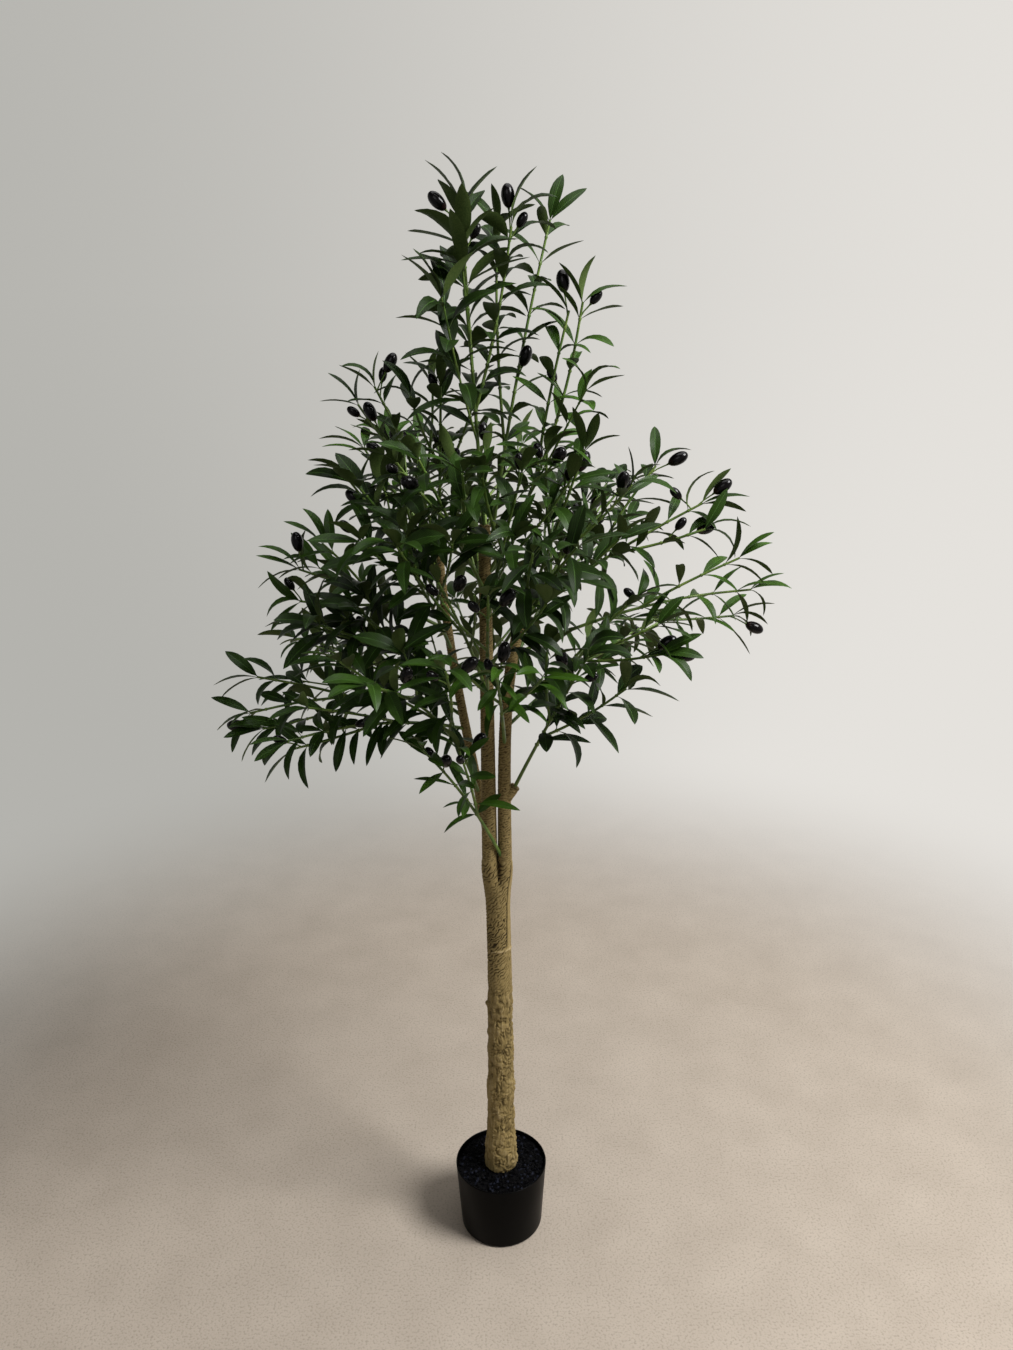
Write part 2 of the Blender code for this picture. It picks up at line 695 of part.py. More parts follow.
def main():
    for old in list(bpy.data.objects):
        bpy.data.objects.remove(old)
    bark = material("moulded_foam_bark", BARK, 0.75)
    add_pot()
    add_filler()
    add_object("trunk", trunk_shape(), bark, BARK_SMOOTH_ANGLE)
    paths, limbs = add_stems(bark)
    add_sprays(paths, limbs)


if __name__ == "__main__":
    main()
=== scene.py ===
"""Dresses the potted artificial olive tree: bark, turned pot, peat crumbs, twigs, leaves and olives.

Metres, +Z up. The origin is the middle of the pot's flat underside, and -Y is the tree's front.
"""

import bisect
import math
import random
from collections import namedtuple

import bpy
import numpy as np
from mathutils import Matrix, Quaternion, Vector, geometry, noise
from mathutils.bvhtree import BVHTree


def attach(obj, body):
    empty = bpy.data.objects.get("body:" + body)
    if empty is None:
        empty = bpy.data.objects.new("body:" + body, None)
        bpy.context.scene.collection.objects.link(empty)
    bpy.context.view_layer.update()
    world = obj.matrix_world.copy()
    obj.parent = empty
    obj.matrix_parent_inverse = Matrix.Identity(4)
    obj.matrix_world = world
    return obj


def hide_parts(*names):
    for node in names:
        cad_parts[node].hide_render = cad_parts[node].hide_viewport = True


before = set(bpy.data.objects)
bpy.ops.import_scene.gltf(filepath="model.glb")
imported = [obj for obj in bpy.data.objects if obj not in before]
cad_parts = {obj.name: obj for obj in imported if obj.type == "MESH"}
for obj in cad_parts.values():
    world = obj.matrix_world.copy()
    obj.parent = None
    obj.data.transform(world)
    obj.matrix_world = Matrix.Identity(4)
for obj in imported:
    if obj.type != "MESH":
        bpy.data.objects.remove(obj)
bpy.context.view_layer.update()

# The tree's own sizes, as its solids have them.
TREE_HEIGHT = 1.80
GAP = 0.0003

POT_HEIGHT = 0.132
POT_TOP_RADIUS = 0.0814
POT_BASE_RADIUS = 0.0733
POT_WALL = 0.0025
POT_FLOOR = 0.004
POT_FOOT_ROUND = 0.006
POT_RIM_ROUND = 0.001
POT_SIDES = 128
POT_ROUND_STEPS = 6

FILLER_BELOW_RIM = 0.008
FILLER_CROWN = 0.002
GROUND = POT_HEIGHT - FILLER_BELOW_RIM + FILLER_CROWN
CRUMB_RINGS = 34
CRUMB_SIDES = 150
CRUMB_RELIEF = 0.0032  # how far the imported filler's lumps stand up
CRUMB_LUMP = 0.0068  # a lump's size
SMALL_LUMP = 0.6  # lower lumps on the first, and how many times finer
SMALL_LUMP_FINER = 2.5
CRUMB_COUNT = 1100
CRUMB_REACH = 0.97  # of the way to the pot's wall
CRUMB_SIZES = (0.0013, 0.0038)
CRUMB_CORNERS = (0.6, 1.3)  # how far out a crumb's corners are, of its size
CRUMB_SQUASH = 0.6
CRUMB_FINISHES = (0, 0, 0, 0, 0, 1)  # one in six is coloured pale bluish-grey, a painted glint
CRUMB_SEED = 7

FORK_HEIGHT = 0.742
TRUNK_FOOT_RADIUS = 0.0235
TRUNK_WAIST_RADIUS = 0.0197
TRUNK_WAIST_HEIGHT = 0.58
FLARE_RADIUS = 0.0055
FLARE_HEIGHT = 0.07
FORK_HALF_WIDTH = 0.0255
FORK_HALF_DEPTH = 0.0200
FORK_SHIFT = 0.0030
FORK_LENGTH = 0.085
TRUNK_LEAN = 0.0025
TRUNK_SIDES = 14
TRUNK_RINGS = 14

LIMB_SIDES = 9
LIMB_STEPS = 10
STUB_LIMB = "right_stem"
STUB_RADIUS = 0.0068
STUB_BARK_RADIUS = 0.0078
STUB_BARK_FOOT_RADIUS = 0.0100
STUB_RIDGES = 3
STUB_LENGTH = 0.030
STUB_BEARING = 0
STUB_RISE = 52
STUB_HEIGHT = 0.857

# Bark relief, from the mould: coarse folds low on the trunk, a slanted weave above them, finer on the stems.
TRUNK_STEP = 0.0011  # between the relief's points
STEM_STEP = 0.0009
FOLD_SIZE = 0.0092
FOLD_STRETCH = 0.70  # folds run more up and down than round
FOLD_WARP = 0.009
FOLD_WARP_SIZE = 0.017
FOLD_SEED = 1  # of the noise that warps them
FOLD_WIDTH = 0.5  # a fold's half width and its crease's, as values of the noise across it
FOLD_CREASE = 0.11
FOLD_BREAK_SIZE = 0.011
FOLD_TURN = -20  # the side where the folds are closest; upright flutes show on the far side
FOLD_DEPTH = 0.0036
FLUTE_SIZE = 0.0034
FLUTE_LENGTH = 0.034
FLUTE_SHARE = 0.34  # of a fold's depth
FLUTE_PAINTED_SHADE = 0.4  # of a crease's: painted shade in the flutes' grooves
SMALL_FOLD = 0.8  # a second set of folds on the first, lower and finer
SMALL_FOLD_FINER = 2.1
FOLDS_EVERYWHERE = 0.62  # how much of the folds is kept: everywhere, towards their turn, and by patches
FOLDS_TOWARDS_TURN = 0.35
FOLDS_BY_PATCH = 1.3
FOLD_LEVEL = 0.45  # of a fold's height, where it meets the bare limb's surface
NO_FOLD_LEVEL = 0.75  # of a fold's height, where the bark has none
LUMP_SIZE = 0.030
LUMP_DEPTH = 0.0016
TRUNK_WEAVE = 0.0070  # from ridge to ridge up the limb
STEM_WEAVE = 0.0042  # a fifth coarser than cast, so that it shows
TRUNK_SLANT = 1.05  # how much a ridge climbs for its way round
STEM_SLANT = 0.25
WEAVE_SLIP = 3.0
WEAVE_SLIP_SIZE = 3.4  # in ridges
WEAVE_WOBBLE = 4.6
WEAVE_WOBBLE_SIZE = 1.0
WEAVE_BREAK_SIZE = 0.9
WEAVE_BREAKS = (-0.05, 1.6)  # how far the ridges break off: everywhere, and by patches
WEAVE_BROKEN = 0.5  # a broken stretch's level, from -1 in a gap to 1 on a ridge
WEAVE_DEPTH = 0.24  # of the way from ridge to ridge
WEAVE_LEVEL = 0.35  # of the depth, how far the ridges stand over the bare limb's surface
STEM_WEAVE_DEPTH = 0.8
WEAVE_PATCH = 0.028  # the gaps between ridges are deeper in some patches
WEAVE_EVEN = 0.75
WEAVE_PATCHY = 0.5
WEAVE_LEAST = 0.3
DEEP_WEAVE = 0.45
DEEP_WEAVE_HEIGHT = 0.612
DEEP_WEAVE_LENGTH = 0.038
GRAIN_SIZE = 0.0022
GRAIN_DEPTH = 0.00022
WEAVE_FROM = 0.475  # the folds give way to the weave from here to where it is whole
WEAVE_WHOLE = 0.54
SEAM_FOOT = 0.583
SEAM_TURN_FOOT = -48
SEAM_TURN_TOP = -32
SEAM_WIDTH = 0.0014
SEAM_DEPTH = 0.0018
SEAM_WANDER = 0.001
SEAM_WANDER_LENGTH = 0.02
SEAM_RUN_IN = 1 / 12  # of its length
SEAM_SMOOTH_WIDTH = 0.010  # the strip beside the seam has hardly any weave
SEAM_SMOOTH_SHARE = 0.3
LIP_HEIGHT = 0.0022
LIP_DEPTH = 0.0014
LIP_TURN = -62
LIP_SPAN = 1.4  # more makes the lip reach further round
LIP_CLIMB = 0.007
KNOTS = ((0.472, 0.0036), (0.414, 0.0018))  # height, depth
KNOT_TURN = 188
KNOT_SIZE = 0.0055
BULGE_HEIGHT = 0.30
BULGE_LENGTH = 0.022
BULGE_DEPTH = 0.0014
FOOT_ROUND = 0.008
FOOT_TUCK = 0.0035
FOOT_SUNK = 0.003  # the bark goes on into the lumpy filler
FORK_LOBES_FROM = 0.050  # below the fork, where the stems start to show in the trunk
FORK_SKIN = 0.0012  # the trunk's skin over the feet of the stems
FORK_SKIN_ENDS = -0.0012
FORK_WEB = 0.0100
FORK_SHARPNESS = 16
FORK_RISE = 0.014  # above the fork, where the skin has sunk into the stems
FORK_CREASE_TURN = -76
FORK_CREASE_WIDTH = 0.0022
FORK_CREASE_DEPTH = 0.0016
TIP_STEPS = 6
TIP_ROUND = 88  # degrees of the rounding at a limb's cut end, just short of a point
TIP_FLATNESS = 0.5

# What each form adds to the bark's tone, which runs from -1 in a crease to 1 on a ridge: painted shade in
# creases, gaps, grooves and flutes, and a painted highlight on ridges, fold tops, lumps and the lip.
WEAVE_RIDGE_PAINTED_HIGHLIGHT = 0.4
GAP_PAINTED_SHADE = -1.6
FOLD_FOOT_TONE = 0.1
FOLD_TOP_PAINTED_HIGHLIGHT = 0.4
FOLD_CREASE_PAINTED_SHADE = -0.75
LUMP_PAINTED_SHADING = 0.2
GRAIN_TONE = 0.3
SEAM_PAINTED_SHADE = -1.8
SEAM_SMOOTH_TONE = 0.45
LIP_PAINTED_HIGHLIGHT = 0.9
FORK_CREASE_PAINTED_SHADE = -1.2

TWIG_SIDES = 3
STEM_RADIUS = 0.0031
TWIG_TIP_RADIUS = 0.0017
STEM_STEPS = 5
SPRIG_STEPS = 3
SPRIG_RADIUS = 0.0024
FIRST_FORK = 0.40
FORK_STEP = 0.13
SPRIG_SHARE = 0.94
SPRIG_RETURN = 0.45
SPRIG_JITTER = 6
STEM_BARE = 0.30
SPRIG_BARE = 0.12
TWIG_CLEAR = 0.0015
TWIG_SEED = 100
SEAT_STEPS = 20  # halvings of the search for where a twig starts clear of its limb

# Finer twigs, beyond the ones in the solids.
FINE_FORKS = (0.30, 0.66, 0.48)
FINE_ROLL = 80
FINE_ROLL_JITTER = 20
FINE_RADIUS = 0.0019
FINE_TIP_RADIUS = 0.0012
FINE_BARE = 0.16
FINE_SEED = 900
FINE_SHARE = 0.72
FINE_OUTWARD = 0.6  # how much a fine sprig turns to the outside rather than up
ROUND_TWIG_SIDES = 7
ROUND_TWIG_STEP = 0.014
SMOOTH_STEPS = 4
KNOB_REACH = 0.0022
KNOB_SWELL = 1.5
KNOB_CLEAR = 0.0033

LEAF_LENGTH = 0.080
LEAF_WIDTHS = {"deep": 0.0214, "mid": 0.0192, "fresh": 0.0170}  # by tint
LEAF_THICKNESS = 0.0007
VEIN_SLANT = 2.2  # how far along the leaf a vein runs for its way out
VEIN_SPACING = 0.005
VEIN_STRENGTH = 0.38
LEAF_STALK_WIDTH = 0.0015
LEAF_RIB_WIDTH = 0.0011
LEAF_FOLD = 13  # degrees
LEAF_FOLD_GROWTH = 1.5  # the fold is whole where the leaf has 1 / 1.5 of its width
LEAF_BENDS = (22, 108)
LEAF_BEND_SKEW = 1.5  # most leaves bend little
LEAF_STRAIGHT_AT = 0.4  # the share of its length where a bent leaf still points the way it sets out
LEAF_TWIST = 26
LEAF_WAVE = 0.05  # of its half width
LEAF_WAVES = 9  # radians of waviness along the leaf
LEAF_SPACING = 0.0330
FIRST_KNOT = 0.35  # of a spacing
VIGOUR_POWER = 1.5  # how strongly a spray with bigger leaves has more of them
LEAF_SIZES = (0.72, 1.08)
LEAF_WIDTH_SHARES = (0.76, 1.08)
TIP_LEAF_SIZES = (0.78, 0.98)
OPEN_AT_BASE = 68
OPEN_AT_TIP = 46
OPEN_JITTER = 12
NODE_TURN = 75
NODE_JITTER = 20
TIP_PAIR_OPEN = 34
UP_ALONG_TWIG = 0.6
UP_DISORDER = 0.55
LEAF_DROOP = 0.25  # the most that a leaf's weight turns it down
LEAF_TRIES = 7
LEAF_SEED = 1300
LIMB_CLEAR = 0.003
LOWEST_LEAF = 0.79
TIP_LEAF_SUNK = 0.002

# Where a leaf's points lie: shares of its length, and of its half width there.
LEAF_ROWS = (0.0, 0.07, 0.17, 0.30, 0.44, 0.58, 0.72, 0.84, 0.93)
LEAF_HALF_WIDTHS = (0.0, 0.0, 0.44, 0.80, 0.98, 1.0, 0.87, 0.62, 0.33)
LEAF_COLUMNS = 6  # edge, middle of the blade and rib, on either side
BLADE_MIDDLE = 0.55  # of the half width, with its share of the edge's lift
BLADE_MIDDLE_LIFT = 0.72
RIB_EDGE = 0.07  # of the half width, on the flat leaf
RIB_MOST = 0.3  # of the half width
RIB_TAPER = 0.6
STALK_PRINT = 0.1  # of the full half width, the least on the flat leaf

OLIVE_LENGTH = 0.031
OLIVE_WIDTH = 0.018
SMALL_OLIVE = 0.72
OLIVE_SIDES = 14
OLIVE_RINGS = 9
OLIVE_BROWN_RINGS = 2
OLIVE_FULLNESS = 0.06  # how much fuller the far half is
STALK_LENGTH = 0.030
STALK_RADII = (0.0013, 0.0010, 0.0011, 0.0024)  # at its foot, its bow, its neck and its cup
STALK_OPEN = 48
STALK_LIFT = 0.4
STALK_JITTER = 10
STALK_BOW = 0.0012
STALK_BOW_AT = 0.4
STALK_NECK_AT = 0.9
STALK_CUP_SUNK = 0.08  # of the olive's length
OLIVE_TURNS = (0, 25, -25, 50, -50, 80, -80)
OLIVE_PLACE = 0.80
OLIVE_COUNTS = (1, 2)
SPRIG_OLIVE_CHANCE = 0.22
OLIVE_SEED = 500

CROWD_CELL = 0.05
NOISE_SPAN = (0.3, 0.7)  # where nearly all of a noise texture's values lie

UP = Vector((0, 0, 1))

# A limb leans from foot_lean to tip_lean degrees towards its bearing, most of it near the tip.
Limb = namedtuple("Limb", "name x y foot_radius tip_radius length foot_lean tip_lean bearing")
LIMBS = (
    Limb("centre_stem", -0.0115, -0.0045, 0.0122, 0.0088, 0.560, 0, 0, 0),
    Limb("right_stem", 0.0134, -0.0045, 0.0112, 0.0078, 0.450, 0, 20, -5),
    Limb("left_stem", -0.0065, 0.0148, 0.0080, 0.0062, 0.530, 13, 2, 145),
)

# A spray leaves its limb at a height, towards a bearing from +X, and its stem rises at rise + bend degrees
# at first and rise - bend at its tip, over its reach. Its side sprigs fan out to either side, spread degrees
# off the stem, in a plane turned by roll about the stem. It has so many fine sprigs out of that plane, its
# leaves are leaf times the usual size, and its tint is the batch of leaf cloth it was made from.
Spray = namedtuple("Spray", "name limb height bearing rise reach bend roll sprigs spread fine leaf tint")
SPRAYS = (
    Spray("top_left_spray", "centre_stem", 1.290, -140, 86, 0.44, 0, 50, 1, 24, 3, 1.16, "deep"),
    Spray("top_right_spray", "centre_stem", 1.200, 28, 78, 0.53, 4, 65, 1, 14, 0, 0.93, "mid"),
    Spray("right_upper_spray", "centre_stem", 1.220, -14, 70, 0.42, -12, 104, 1, 18, 1, 0.94, "fresh"),
    Spray("right_front_top_spray", "right_stem", 1.130, -45, 66, 0.32, 0, -45, 2, 28, 0, 0.9, "mid"),
    Spray("right_spray", "right_stem", 1.165, -3, 33, 0.31, 5, 80, 2, 26, 0, 0.95, "mid"),
    Spray("right_long_spray", "right_stem", 1.100, 8, 13, 0.385, 12, -70, 2, 24, 0, 0.92, "fresh"),
    Spray("right_low_spray", "right_stem", 1.020, -22, 33, 0.28, 5, 60, 2, 22, 0, 0.92, "mid"),
    Spray("stub_spray", "stub", 0.877, -50, 58, 0.31, 2, -50, 2, 35, 0, 1.05, "deep"),
    Spray("front_spray", "right_stem", 0.950, -93, 43, 0.28, 10, 0, 2, 35, 0, 0.88, "fresh"),
    Spray("front_upper_spray", "centre_stem", 1.200, -118, 52, 0.28, 0, 0, 2, 30, 1, 0.96, "mid"),
    Spray("front_middle_spray", "centre_stem", 1.140, -71, 58, 0.31, 5, 0, 2, 30, 1, 1, "mid"),
    Spray("front_right_spray", "centre_stem", 1.070, -62, 44, 0.36, 5, 0, 2, 30, 0, 0.98, "deep"),
    Spray("front_centre_spray", "centre_stem", 1.010, -88, 48, 0.33, 5, 0, 2, 32, 0, 0.98, "deep"),
    Spray("inner_left_spray", "centre_stem", 1.040, -112, 53, 0.27, 5, 0, 2, 30, 0, 0.9, "mid"),
    Spray("left_top_spray", "left_stem", 1.250, -79, 74, 0.26, 0, 0, 2, 30, 0, 0.92, "deep"),
    Spray("left_upper_spray", "left_stem", 1.220, 180, 72, 0.29, 10, 90, 2, 25, 0, 0.85, "mid"),
    Spray("left_front_upper_spray", "left_stem", 1.160, -129, 51, 0.27, 5, 0, 2, 30, 3, 1.06, "deep"),
    Spray("left_inner_spray", "left_stem", 1.090, -103, 42, 0.33, 5, 0, 2, 30, 3, 1.12, "mid"),
    Spray("left_spray", "left_stem", 1.120, -172, 26, 0.25, 5, -80, 2, 25, 2, 1, "fresh"),
    Spray("left_front_spray", "left_stem", 1.040, -144, 30, 0.27, 5, 20, 2, 28, 3, 1.12, "deep"),
    Spray("left_long_spray", "left_stem", 1.000, -162, 5, 0.335, 14, -70, 2, 20, 1, 0.9, "mid"),
    Spray("left_low_spray", "left_stem", 0.960, -143, 11, 0.32, 13, 60, 2, 20, 0, 0.92, "mid"),
    Spray("front_low_spray", "left_stem", 0.850, -118, 44, 0.42, 22, 0, 2, 28, 2, 1.06, "mid"),
    Spray("fork_spray", "right_stem", 0.742, -137, 57, 0.30, 8, 0, 1, 25, 0, 0.9, "fresh"),
    Spray("back_top_spray", "centre_stem", 1.200, 90, 38, 0.33, 5, 0, 2, 28, 0, 0.92, "mid"),
    Spray("back_right_upper_spray", "right_stem", 1.120, 45, 46, 0.30, 5, 0, 2, 28, 0, 0.92, "deep"),
    Spray("back_right_spray", "right_stem", 1.080, 60, 32, 0.37, 8, 20, 2, 28, 1, 1, "mid"),
    Spray("back_left_spray", "left_stem", 1.190, 120, 48, 0.28, 5, 0, 2, 28, 2, 1, "fresh"),
    Spray("back_spray", "centre_stem", 1.100, 95, 32, 0.40, 8, -20, 2, 28, 2, 1, "deep"),
    Spray("back_low_left_spray", "left_stem", 0.980, 145, 12, 0.34, 10, 20, 2, 25, 1, 0.95, "mid"),
    Spray("back_low_right_spray", "right_stem", 0.980, 45, 14, 0.38, 10, -20, 2, 25, 0, 0.92, "deep"),
    Spray("back_low_spray", "centre_stem", 0.960, 88, 24, 0.36, 10, 0, 2, 28, 1, 1, "mid"),
)

# The olives of the sprays that show from the front: on which of a spray's twigs each hangs (0 is the stem),
# how far along it, which way its stalk points, and its size. The other sprays' olives follow a rule.
Olive = namedtuple("Olive", "spray twig share bearing rise size")
OLIVES = (
    Olive("top_left_spray", 0, 0.95, 180, 45, 1.0),
    Olive("top_left_spray", 0, 0.87, 0, 62, 0.72),
    Olive("top_left_spray", 1, 0.97, 180, 86, 1.0),
    Olive("top_left_spray", 1, 0.92, 0, 58, 0.72),
    Olive("top_right_spray", 0, 0.50, 0, 70, 1.0),
    Olive("right_upper_spray", 1, 0.97, 125, 76, 1.0),
    Olive("right_upper_spray", 0, 0.95, 0, 50, 0.72),
    Olive("right_upper_spray", 0, 0.68, 180, 60, 0.72),
    Olive("left_top_spray", 0, 0.97, 0, 85, 1.0),
    Olive("left_top_spray", 0, 0.90, 180, 72, 0.72),
    Olive("left_top_spray", 0, 0.47, -70, 78, 1.0),
    Olive("left_top_spray", 0, 0.43, -20, 48, 1.0),
    Olive("left_upper_spray", 0, 0.97, 0, 62, 1.0),
    Olive("left_upper_spray", 0, 0.93, 30, 75, 0.72),
    Olive("left_upper_spray", 2, 0.50, 180, 65, 1.0),
    Olive("left_upper_spray", 2, 0.72, 180, 35, 0.72),
    Olive("left_front_upper_spray", 1, 0.85, 0, 70, 0.72),
    Olive("left_front_upper_spray", 2, 0.45, 180, 40, 1.0),
    Olive("left_inner_spray", 2, 0.97, 180, 45, 0.72),
    Olive("left_spray", 0, 0.97, 180, 82, 1.0),
    Olive("left_spray", 1, 0.97, 180, 58, 0.72),
    Olive("left_front_spray", 0, 0.65, 180, 68, 0.72),
    Olive("left_long_spray", 1, 0.96, 180, 5, 1.0),
    Olive("left_low_spray", 2, 0.88, 180, 20, 0.72),
    Olive("left_low_spray", 0, 0.72, 0, 15, 0.72),
    Olive("front_middle_spray", 0, 0.93, -90, 75, 0.72),
    Olive("front_spray", 0, 0.85, 0, 78, 1.0),
    Olive("front_spray", 0, 0.78, 180, 68, 0.72),
    Olive("right_spray", 1, 0.92, 0, 28, 1.0),
    Olive("right_spray", 0, 0.94, 180, 45, 0.72),
    Olive("right_spray", 0, 0.97, 0, 38, 1.0),
    Olive("right_spray", 2, 0.57, 0, 52, 0.72),
    Olive("right_spray", 2, 0.72, 0, 12, 1.0),
    Olive("right_long_spray", 0, 0.55, 180, 40, 0.72),
    Olive("right_long_spray", 1, 0.97, 0, -25, 1.0),
    Olive("right_low_spray", 2, 0.75, 0, 30, 1.0),
    Olive("right_low_spray", 2, 0.93, 0, 0, 1.0),
)

# Where the crown is open: no leaf comes nearer to these lines than their radius, so that the stems show.
Opening = namedtuple("Opening", "start end radius")
OPENINGS = (
    Opening((-0.0115, -0.03, 1.138), (-0.005, -0.34, 1.236), 0.034),
    Opening((-0.062, 0.03, 1.185), (-0.045, -0.30, 1.280), 0.028),
    Opening((0.016, -0.03, 0.990), (0.018, -0.30, 1.100), 0.022),
    Opening((-0.050, 0.02, 1.000), (-0.040, -0.28, 1.120), 0.018),
)


def aim(bearing, rise):
    """The unit vector that points rise degrees above level, at a bearing from +X."""
    bearing, rise = math.radians(bearing), math.radians(rise)
    return Vector((math.cos(bearing) * math.cos(rise), math.sin(bearing) * math.cos(rise), math.sin(rise)))


def turned(vector, axis, degrees):
    return Quaternion(axis, math.radians(degrees)) @ vector


def mix(first, last, share):
    return first + (last - first) * share


def ease(share):
    """From 0 to 1 with level ends."""
    share = min(max(share, 0.0), 1.0)
    return share * share * (3 - 2 * share)


def hump(offset, width):
    """A smooth bump: 1 in the middle, nearly 0 two widths away."""
    return math.exp(-((offset / width) ** 2))


# Materials.


def linear(colour):
    """An sRGB hex colour such as 7F7F7F, as linear RGBA."""
    parts = [int(colour[at : at + 2], 16) / 255 for at in (0, 2, 4)]
    return [part / 12.92 if part <= 0.04045 else ((part + 0.055) / 1.055) ** 2.4 for part in parts] + [1.0]


def live(sockets, name=None):
    """The first socket that a node's settings leave in use, or the one of that name."""
    return next(socket for socket in sockets if socket.enabled and name in (None, socket.name))


def feed(node, inputs):
    """Gives a node's inputs, by name or number, a value, a hex colour, another node or one of its outputs."""
    for name, given in inputs.items():
        socket = node.inputs[name] if isinstance(name, int) else live(node.inputs, name)
        if isinstance(given, bpy.types.Node):
            given = live(given.outputs)
        if isinstance(given, bpy.types.NodeSocket):
            node.id_data.links.new(given, socket)
        else:
            socket.default_value = linear(given) if isinstance(given, str) else given


def add_node(tree, kind, inputs=(), **settings):
    """Adds a shader node with its settings and feeds its inputs."""
    made = tree.nodes.new("ShaderNode" + kind)
    for name, value in settings.items():
        setattr(made, name, value)
    feed(made, dict(inputs))
    return made


def add_material(name, **constants):
    """A material with its node tree and shader. The constants are set on the shader's own sockets."""
    made = bpy.data.materials.new(name)
    made.use_nodes = True
    shader = made.node_tree.nodes["Principled BSDF"]
    feed(shader, {socket.replace("_", " "): value for socket, value in constants.items()})
    return made, made.node_tree, shader


def patches(tree, size, low=0.0, high=1.0, detail=3.0):
    """Soft patches of about a size in metres, from low to high."""
    place_on = add_node(tree, "TexCoord").outputs["Object"]
    cloud = add_node(tree, "TexNoise", {"Vector": place_on, "Scale": 1 / size, "Detail": detail})
    ends = {"From Min": NOISE_SPAN[0], "From Max": NOISE_SPAN[1], "To Min": low, "To Max": high}
    return add_node(tree, "MapRange", {"Value": cloud, **ends})


def mottled(tree, size, first, last, detail=3.0):
    """A colour that drifts between two in soft patches."""
    share = patches(tree, size, detail=detail)
    return add_node(tree, "Mix", {"Factor": share, "A": first, "B": last}, data_type="RGBA")


def bark_material():
    """Polyurethane foam cast in a bark mould and sprayed tan: matt, with a painted highlight, pale on ridges,
    and painted shade, dark brown in creases and gaps.
    """
    made, tree, shader = add_material("painted_cast_foam_bark", Roughness=0.85, Specular_IOR_Level=0.25)
    tone = add_node(tree, "Attribute", attribute_name="bark_grain_and_painted_shading").outputs["Fac"]
    # Painted shade: where the tone is low, in creases and gaps, the colour goes dark brown.
    clear_of_painted_shade = add_node(tree, "MapRange", {"Value": tone, "From Min": -1.0, "From Max": 0.1})
    # Painted highlight: where the tone is high, on ridges, the colour goes pale.
    painted_highlight_share = add_node(tree, "MapRange", {"Value": tone, "From Min": 0.24, "From Max": 1.0})
    body = mottled(tree, 0.035, "7E6C43", "8D7A4D")
    with_painted_shade = add_node(tree, "Mix", {"Factor": clear_of_painted_shade, "A": "33270F", "B": body}, data_type="RGBA")
    with_painted_highlight = add_node(tree, "Mix", {"Factor": painted_highlight_share, "A": with_painted_shade, "B": "A5926A"}, data_type="RGBA")
    # The foam's own grain, 1.2 mm across.
    place_on = add_node(tree, "TexCoord").outputs["Object"]
    grain = add_node(tree, "TexNoise", {"Vector": place_on, "Scale": 1 / 0.0012, "Detail": 4.0})
    bump = add_node(tree, "Bump", {"Height": grain, "Strength": 0.35, "Distance": 0.0004})
    feed(shader, {"Base Color": with_painted_highlight, "Normal": bump})
    return made


def leaf_cloth_material(name, dark, light, vein):
    """Printed, heat-pressed polyester leaf cloth: satin, with pale veins that slant off the midrib."""
    made, tree, shader = add_material(name, Roughness=0.42, Specular_IOR_Level=0.15)
    flat = add_node(tree, "SeparateXYZ", {"Vector": add_node(tree, "UVMap")})
    across, along = flat.outputs["X"], flat.outputs["Y"]
    outward = add_node(tree, "Math", {0: across}, operation="ABSOLUTE")
    slanted = add_node(tree, "Math", {0: outward, 1: -VEIN_SLANT, 2: along}, operation="MULTIPLY_ADD")
    course = add_node(tree, "CombineXYZ", {"X": slanted, "Y": across})
    # A wave has a band every tau / 20 over its scale. The veins are coarser than real ones so that they show.
    scale = math.tau / (20 * VEIN_SPACING)
    wandering = {"Distortion": 1.6, "Detail": 1.0, "Detail Scale": 0.8}
    waves = add_node(tree, "TexWave", {"Vector": course, "Scale": scale, **wandering}, bands_direction="X")
    lines = waves.outputs["Fac"]
    faint = add_node(tree, "MapRange", {"Value": lines, "From Min": 0.55, "To Max": VEIN_STRENGTH})
    body = mottled(tree, 0.045, dark, light)
    printed = add_node(tree, "Mix", {"Factor": faint, "A": body, "B": vein}, data_type="RGBA")
    bump = add_node(tree, "Bump", {"Height": lines, "Strength": 0.3, "Distance": 0.0003})
    feed(shader, {"Base Color": printed, "Normal": bump})
    return made


def rib_material():
    """The pressed midrib of a leaf, where the plastic wire under the cloth shows paler."""
    made, tree, shader = add_material("pressed_leaf_midrib", Roughness=0.5, Specular_IOR_Level=0.25)
    feed(shader, {"Base Color": mottled(tree, 0.03, "2C4A18", "46662A")})
    return made


def leaf_back_material():
    """The unprinted back of the leaf cloth: duller and paler, a grey sage green with a weave of 1.6 mm."""
    made, tree, shader = add_material("leaf_cloth_back", Roughness=0.62, Specular_IOR_Level=0.15)
    weave = patches(tree, 0.0016, 0.0, 0.5, detail=1.0)
    body = mottled(tree, 0.05, "2E4019", "415326")
    woven = add_node(tree, "Mix", {"Factor": weave, "A": body, "B": "5C6B38"}, data_type="RGBA")
    feed(shader, {"Base Color": woven})
    return made


def twig_material():
    """Injection-moulded polyethylene over wire: smooth yellow-green, a little darker in places."""
    made, tree, shader = add_material("moulded_green_polyethylene", Roughness=0.42, Specular_IOR_Level=0.35)
    bump = add_node(tree, "Bump", {"Height": patches(tree, 0.0018), "Strength": 0.25, "Distance": 0.0003})
    feed(shader, {"Base Color": mottled(tree, 0.022, "3F5C21", "6A7E38"), "Normal": bump})
    return made


